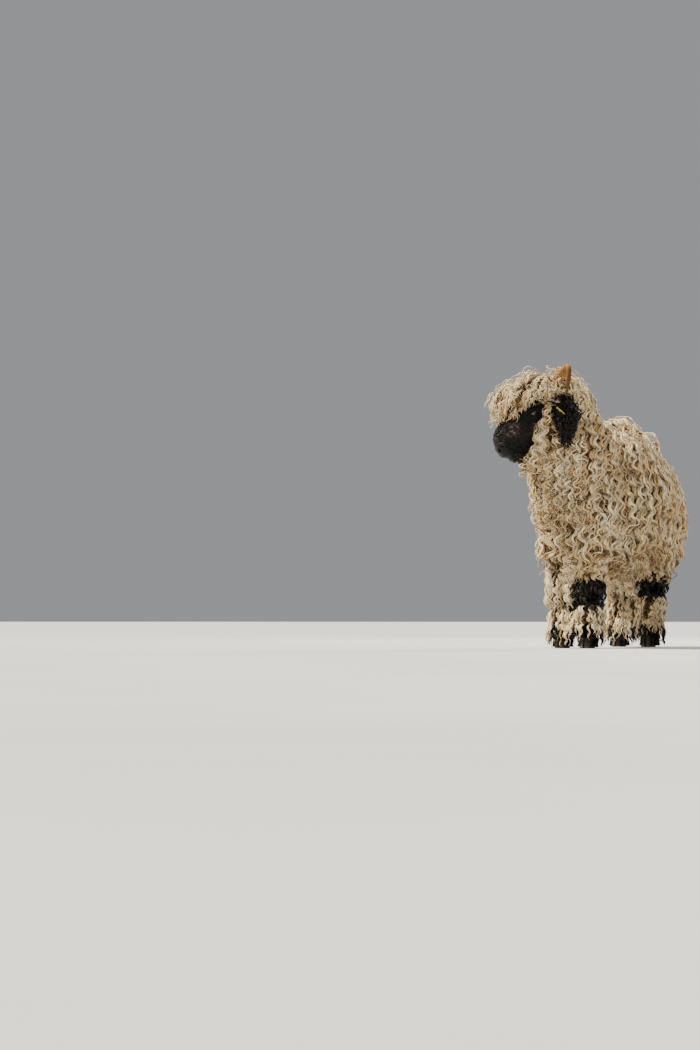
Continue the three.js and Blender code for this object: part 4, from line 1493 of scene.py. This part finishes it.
# Horns
HORN_LINE = [
    (0.012, 0.030, 0.026, 0.0210),
    (-0.008, 0.045, 0.034, 0.0200),
    (-0.036, 0.059, 0.042, 0.0170),
    (-0.064, 0.071, 0.052, 0.0130),
    (-0.076, 0.071, 0.064, 0.0100),
    (-0.061, 0.052, 0.074, 0.0090),
    (-0.039, 0.031, 0.079, 0.0075),
    (-0.026, 0.017, 0.080, 0.0045),
]
HORN_FLATNESS = 0.65  # thickness against breadth
HORN_RINGS = 24
HORN_RIDGE = 0.060  # how far a ring stands out at the root, against the horn's breadth
HORN_ROUGHNESS = 0.05  # the same for its small bumps
HORN_BUMPS = 260  # in each metre
HORN_SLICES = 120


def make_horn(name, hand):
    """A horn that curls out and down, with rings that fade to its tip."""
    stations = [(a, o, s * hand, size, size * HORN_FLATNESS) for a, o, s, size in HORN_LINE]
    limb = Limb(on_head_stations(stations), head_side)
    piece = limb.tube("ridged_horn_" + name, 20, HORN_SLICES)
    shares = np.linspace(0, 1, HORN_SLICES)
    centres = np.array([limb.at(share)[:3] for share in shares])
    along = []
    for vertex in piece.data.vertices:
        nearest = np.linalg.norm(centres - np.array(vertex.co), axis=1).argmin()
        share = shares[nearest]
        centre = Vector(centres[nearest])
        ridge = HORN_RIDGE * (1 - share) * math.sin(math.tau * HORN_RINGS * share)
        rough = HORN_ROUGHNESS * noise.noise(vertex.co * HORN_BUMPS)
        vertex.co = centre + (vertex.co - centre) * (1 + ridge + rough)
        along.append(share)
    set_number(piece.data, "along", np.array(along))
    return smooth(tidy(piece))


# Claws and ear tag
CLAW_GRAIN = 0.0014
CLAW_SINK = 0.0008  # how far a claw is let down, so that its smoothed sole is flat
TAG_GRAIN = 0.0005
TAG_EDGE = 0.0009
BOSS_RADIUS = 0.0045
BOSS_HEIGHT = 0.0062
BOSS_EDGE = 0.0008


def make_claws(name):
    """The cloven hoof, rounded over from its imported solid, with a flat sole."""
    piece = join("claws_" + name, [copy_of("hoof_" + name)])
    remesh(piece, CLAW_GRAIN)
    soften(piece, 14)
    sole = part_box("hoof_" + name)[0].z
    for vertex in piece.data.vertices:
        vertex.co.z = max(vertex.co.z - CLAW_SINK, sole)
    return smooth(piece)


def make_tag():
    """A rounded flag with a raised boss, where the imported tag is."""
    flag = copy_of("ear_tag")
    modify(flag, "BEVEL", width=TAG_EDGE, segments=3, limit_method="ANGLE")
    bpy.ops.mesh.primitive_cylinder_add(vertices=24, radius=BOSS_RADIUS, depth=BOSS_HEIGHT)
    boss = bpy.context.object
    boss.data.transform(turned_to(head_along, head_over).to_4x4())
    boss.data.transform(Matrix.Translation(middle("ear_tag")))
    modify(boss, "BEVEL", width=BOSS_EDGE, segments=3, limit_method="ANGLE")
    tag = join("tag_flag", [flag, boss])
    remesh(tag, TAG_GRAIN)
    return smooth(soften(tag, 3))


# The coat's pieces
class Coat:
    """What the wool is grown with: the roots on the skin, and the outer form of the wool."""

    def __init__(self, skin, solids):
        self.rng = np.random.default_rng(SEED)
        self.roots = Roots(skin, solids, self.rng)
        self.skin = Surface(skin)
        form = make_form()
        self.form = Surface(form)
        bpy.data.objects.remove(form)
        self.cream = cream_wool()
        self.black = black_wool()

    def grow(self, name, names, style, lean, stop=None, where=None, black=False, fur=False):
        """Grows wool on these nodes' skin and makes it into as few pieces as the limit lets."""
        form = self.skin if fur else self.form
        material, slot = (self.black, "black_wool") if black else (self.cream, "fleece")
        wool = Wool(self, form, names, style, lean, stop, where)
        sets = wool.parts()
        for number, chosen in enumerate(sets, 1):
            label = name if len(sets) == 1 else f"{name}_{number}"
            dress(wool.piece(label, chosen), material, slot, *names)


def every(*parts):
    """These parts of each leg that has them."""
    return [f"{part}_{leg}" for part in parts for leg in LEGS if f"{part}_{leg}" in nodes]


def on_side(hand, *parts):
    """These parts of her left or right legs. Long cream wool hides the knee and hock of the right."""
    return [name for name in every(*parts) if name.endswith(hand)]


def make_coat(skin, solids):
    coat = Coat(skin, solids)
    cheeks = ["cheek_left", "cheek_right"]
    coat.grow("fleece_body", ["torso"], TORSO, falls, fleece_ends)
    coat.grow("fleece_neck", ["neck"], NECK, hangs, fleece_ends)
    coat.grow("fleece_crest", ["torso", "neck"], CREST, falls, bare, on_top)
    coat.grow("undercoat", ["torso", "neck"], UNDERCOAT, falls, fleece_ends)
    throat = ["beard", "neck", "torso"]
    coat.grow("fleece_throat", throat, THROAT, hangs, cheek_ends, on_throat, fur=True)
    coat.grow("fleece_tail", ["tail"], TAIL, falls)
    coat.grow("fleece_topknot", ["topknot"], TOPKNOT, forelock, topknot_ends, on_crown)
    coat.grow("fleece_cheeks", cheeks, CHEEK, hangs, cheek_ends, on_cheek)
    coat.grow("fleece_beard", ["beard"], BEARD, hangs)
    coat.grow("loose_body", ["torso"], stray(TORSO), falls, fleece_ends)
    coat.grow("loose_neck", ["neck"], stray(NECK), hangs, fleece_ends)
    coat.grow("loose_topknot", ["topknot"], stray(TOPKNOT), forelock, topknot_ends, on_crown)
    coat.grow("loose_forelock", ["topknot"], FORELOCK, forelock, topknot_ends, on_crown)
    coat.grow("loose_cheeks", cheeks, stray(CHEEK), hangs, cheek_ends, on_cheek)
    covering = replace(UPPER_LEG, spacing=0.0120, length=0.160, steps=20, low=-0.002, high=0.010)
    coat.grow("fleece_long_legs", on_side("right", "leg"), covering, hangs, covered_knee_ends)
    coat.grow("fleece_legs", on_side("left", "leg"), UPPER_LEG, hangs, above_knee_ends)
    long_boot = replace(SHANK, length=0.090, steps=16)
    coat.grow("fleece_long_boots", on_side("right", "shank"), long_boot, hangs)
    coat.grow("fleece_boots", on_side("left", "shank"), SHANK, hangs)
    coat.grow("black_knees", on_side("left", "knee", "hock"), KNEE, hangs, black=True)
    coat.grow("black_feet", every("pastern"), PASTERN, hangs, black=True)
    ears = ["ear_left", "ear_right"]
    coat.grow("black_ears", ears, EAR, down_ear, by_tag, on_ear, black=True, fur=True)
    coat.grow("black_jaw", ["head"], JAW, hangs, where=on_jaw, black=True, fur=True)
    coat.grow("black_face", ["head"], FACE, back_from_nose, where=on_face, black=True, fur=True)


# Camera and light
LENS = 73.7  # millimetres on a 36 mm sensor
DISTANCE = 7.17  # from the camera to the front feet
CAMERA_HEIGHT = 0.09
AZIMUTH = math.radians(25)
FEET_RIGHT = math.radians(5.96)  # how far right of the view's middle the front feet stand
TILT_UP = math.radians(2.56)
LIGHTS_AIM = Vector((0, 0, 0.5))
SKY_STRENGTH = 0.36


def make_camera():
    feet = (middle("hoof_front_left") + middle("hoof_front_right")) / 2
    feet.z = 0
    back = Vector((math.sin(AZIMUTH), -math.cos(AZIMUTH), 0))
    camera = put("camera", bpy.data.cameras.new("camera"))
    camera.data.lens = LENS
    camera.data.sensor_width = 36
    camera.data.sensor_fit = "AUTO"
    camera.data.clip_end = 1000
    camera.location = feet + back * DISTANCE + UP * CAMERA_HEIGHT
    look = Matrix.Rotation(FEET_RIGHT, 3, "Z") @ -back
    look = look * math.cos(TILT_UP) + UP * math.sin(TILT_UP)
    camera.rotation_euler = look.to_track_quat("-Z", "Y").to_euler()
    bpy.context.scene.camera = camera


def add_light(name, kind, place, energy, color, **settings):
    """A light that shines from its place to the middle of the sheep."""
    light = put(name, bpy.data.lights.new(name, kind))
    light.data.energy = energy
    light.data.color = color
    for setting, value in settings.items():
        setattr(light.data, setting, value)
    light.location = place
    light.rotation_euler = (LIGHTS_AIM - light.location).to_track_quat("-Z", "Y").to_euler()


def make_stage():
    bpy.ops.mesh.primitive_plane_add(size=400)
    floor = bpy.context.object
    floor.name = "floor"
    floor.data.materials.append(floor_finish())
    world = bpy.data.worlds.new("studio")
    world.use_nodes = True
    sky = next(n for n in world.node_tree.nodes if n.type == "BACKGROUND")
    sky.inputs["Color"].default_value = rgb(0.86, 0.88, 0.91)
    sky.inputs["Strength"].default_value = SKY_STRENGTH
    bpy.context.scene.world = world
    add_light("key", "SUN", Vector((-2.2, -0.9, 3.6)), 9.5, (1.0, 0.93, 0.80), angle=math.radians(5))
    add_light("fill", "AREA", Vector((3.2, -3.4, 1.8)), 16, (0.95, 0.97, 1.0), size=3.0)
    add_light("rim", "AREA", Vector((0.4, 3.4, 3.2)), 150, (1.0, 0.95, 0.86), size=1.6)


def main():
    make_camera()
    solids = Solids()
    skin = make_skin()
    mark(skin, solids)
    unwrap(skin)
    make_coat(skin, solids)
    flesh = [name for name in nodes if not name.startswith(("eye_", "horn_", "hoof_", "ear_tag"))]
    hide = skin_finish()
    dress(skin, hide, "face", *flesh)
    wet = eye_finish()
    horn = horn_finish()
    for name, hand in HANDS.items():
        dress(make_eye(name, hand), wet, "eye", "eye_" + name)
        for upper in (True, False):
            lid = make_lid(name, hand, upper)
            set_number(lid.data, "black", np.ones(len(lid.data.vertices)))
            dress(lid, hide, "face")
        dress(make_horn(name, hand), horn, "horn", "horn_" + name)
    claw = hoof_finish()
    for name in LEGS:
        dress(make_claws(name), claw, "hoof", "hoof_" + name)
    dress(make_tag(), tag_finish(), "tag", "ear_tag")
    make_stage()


main()
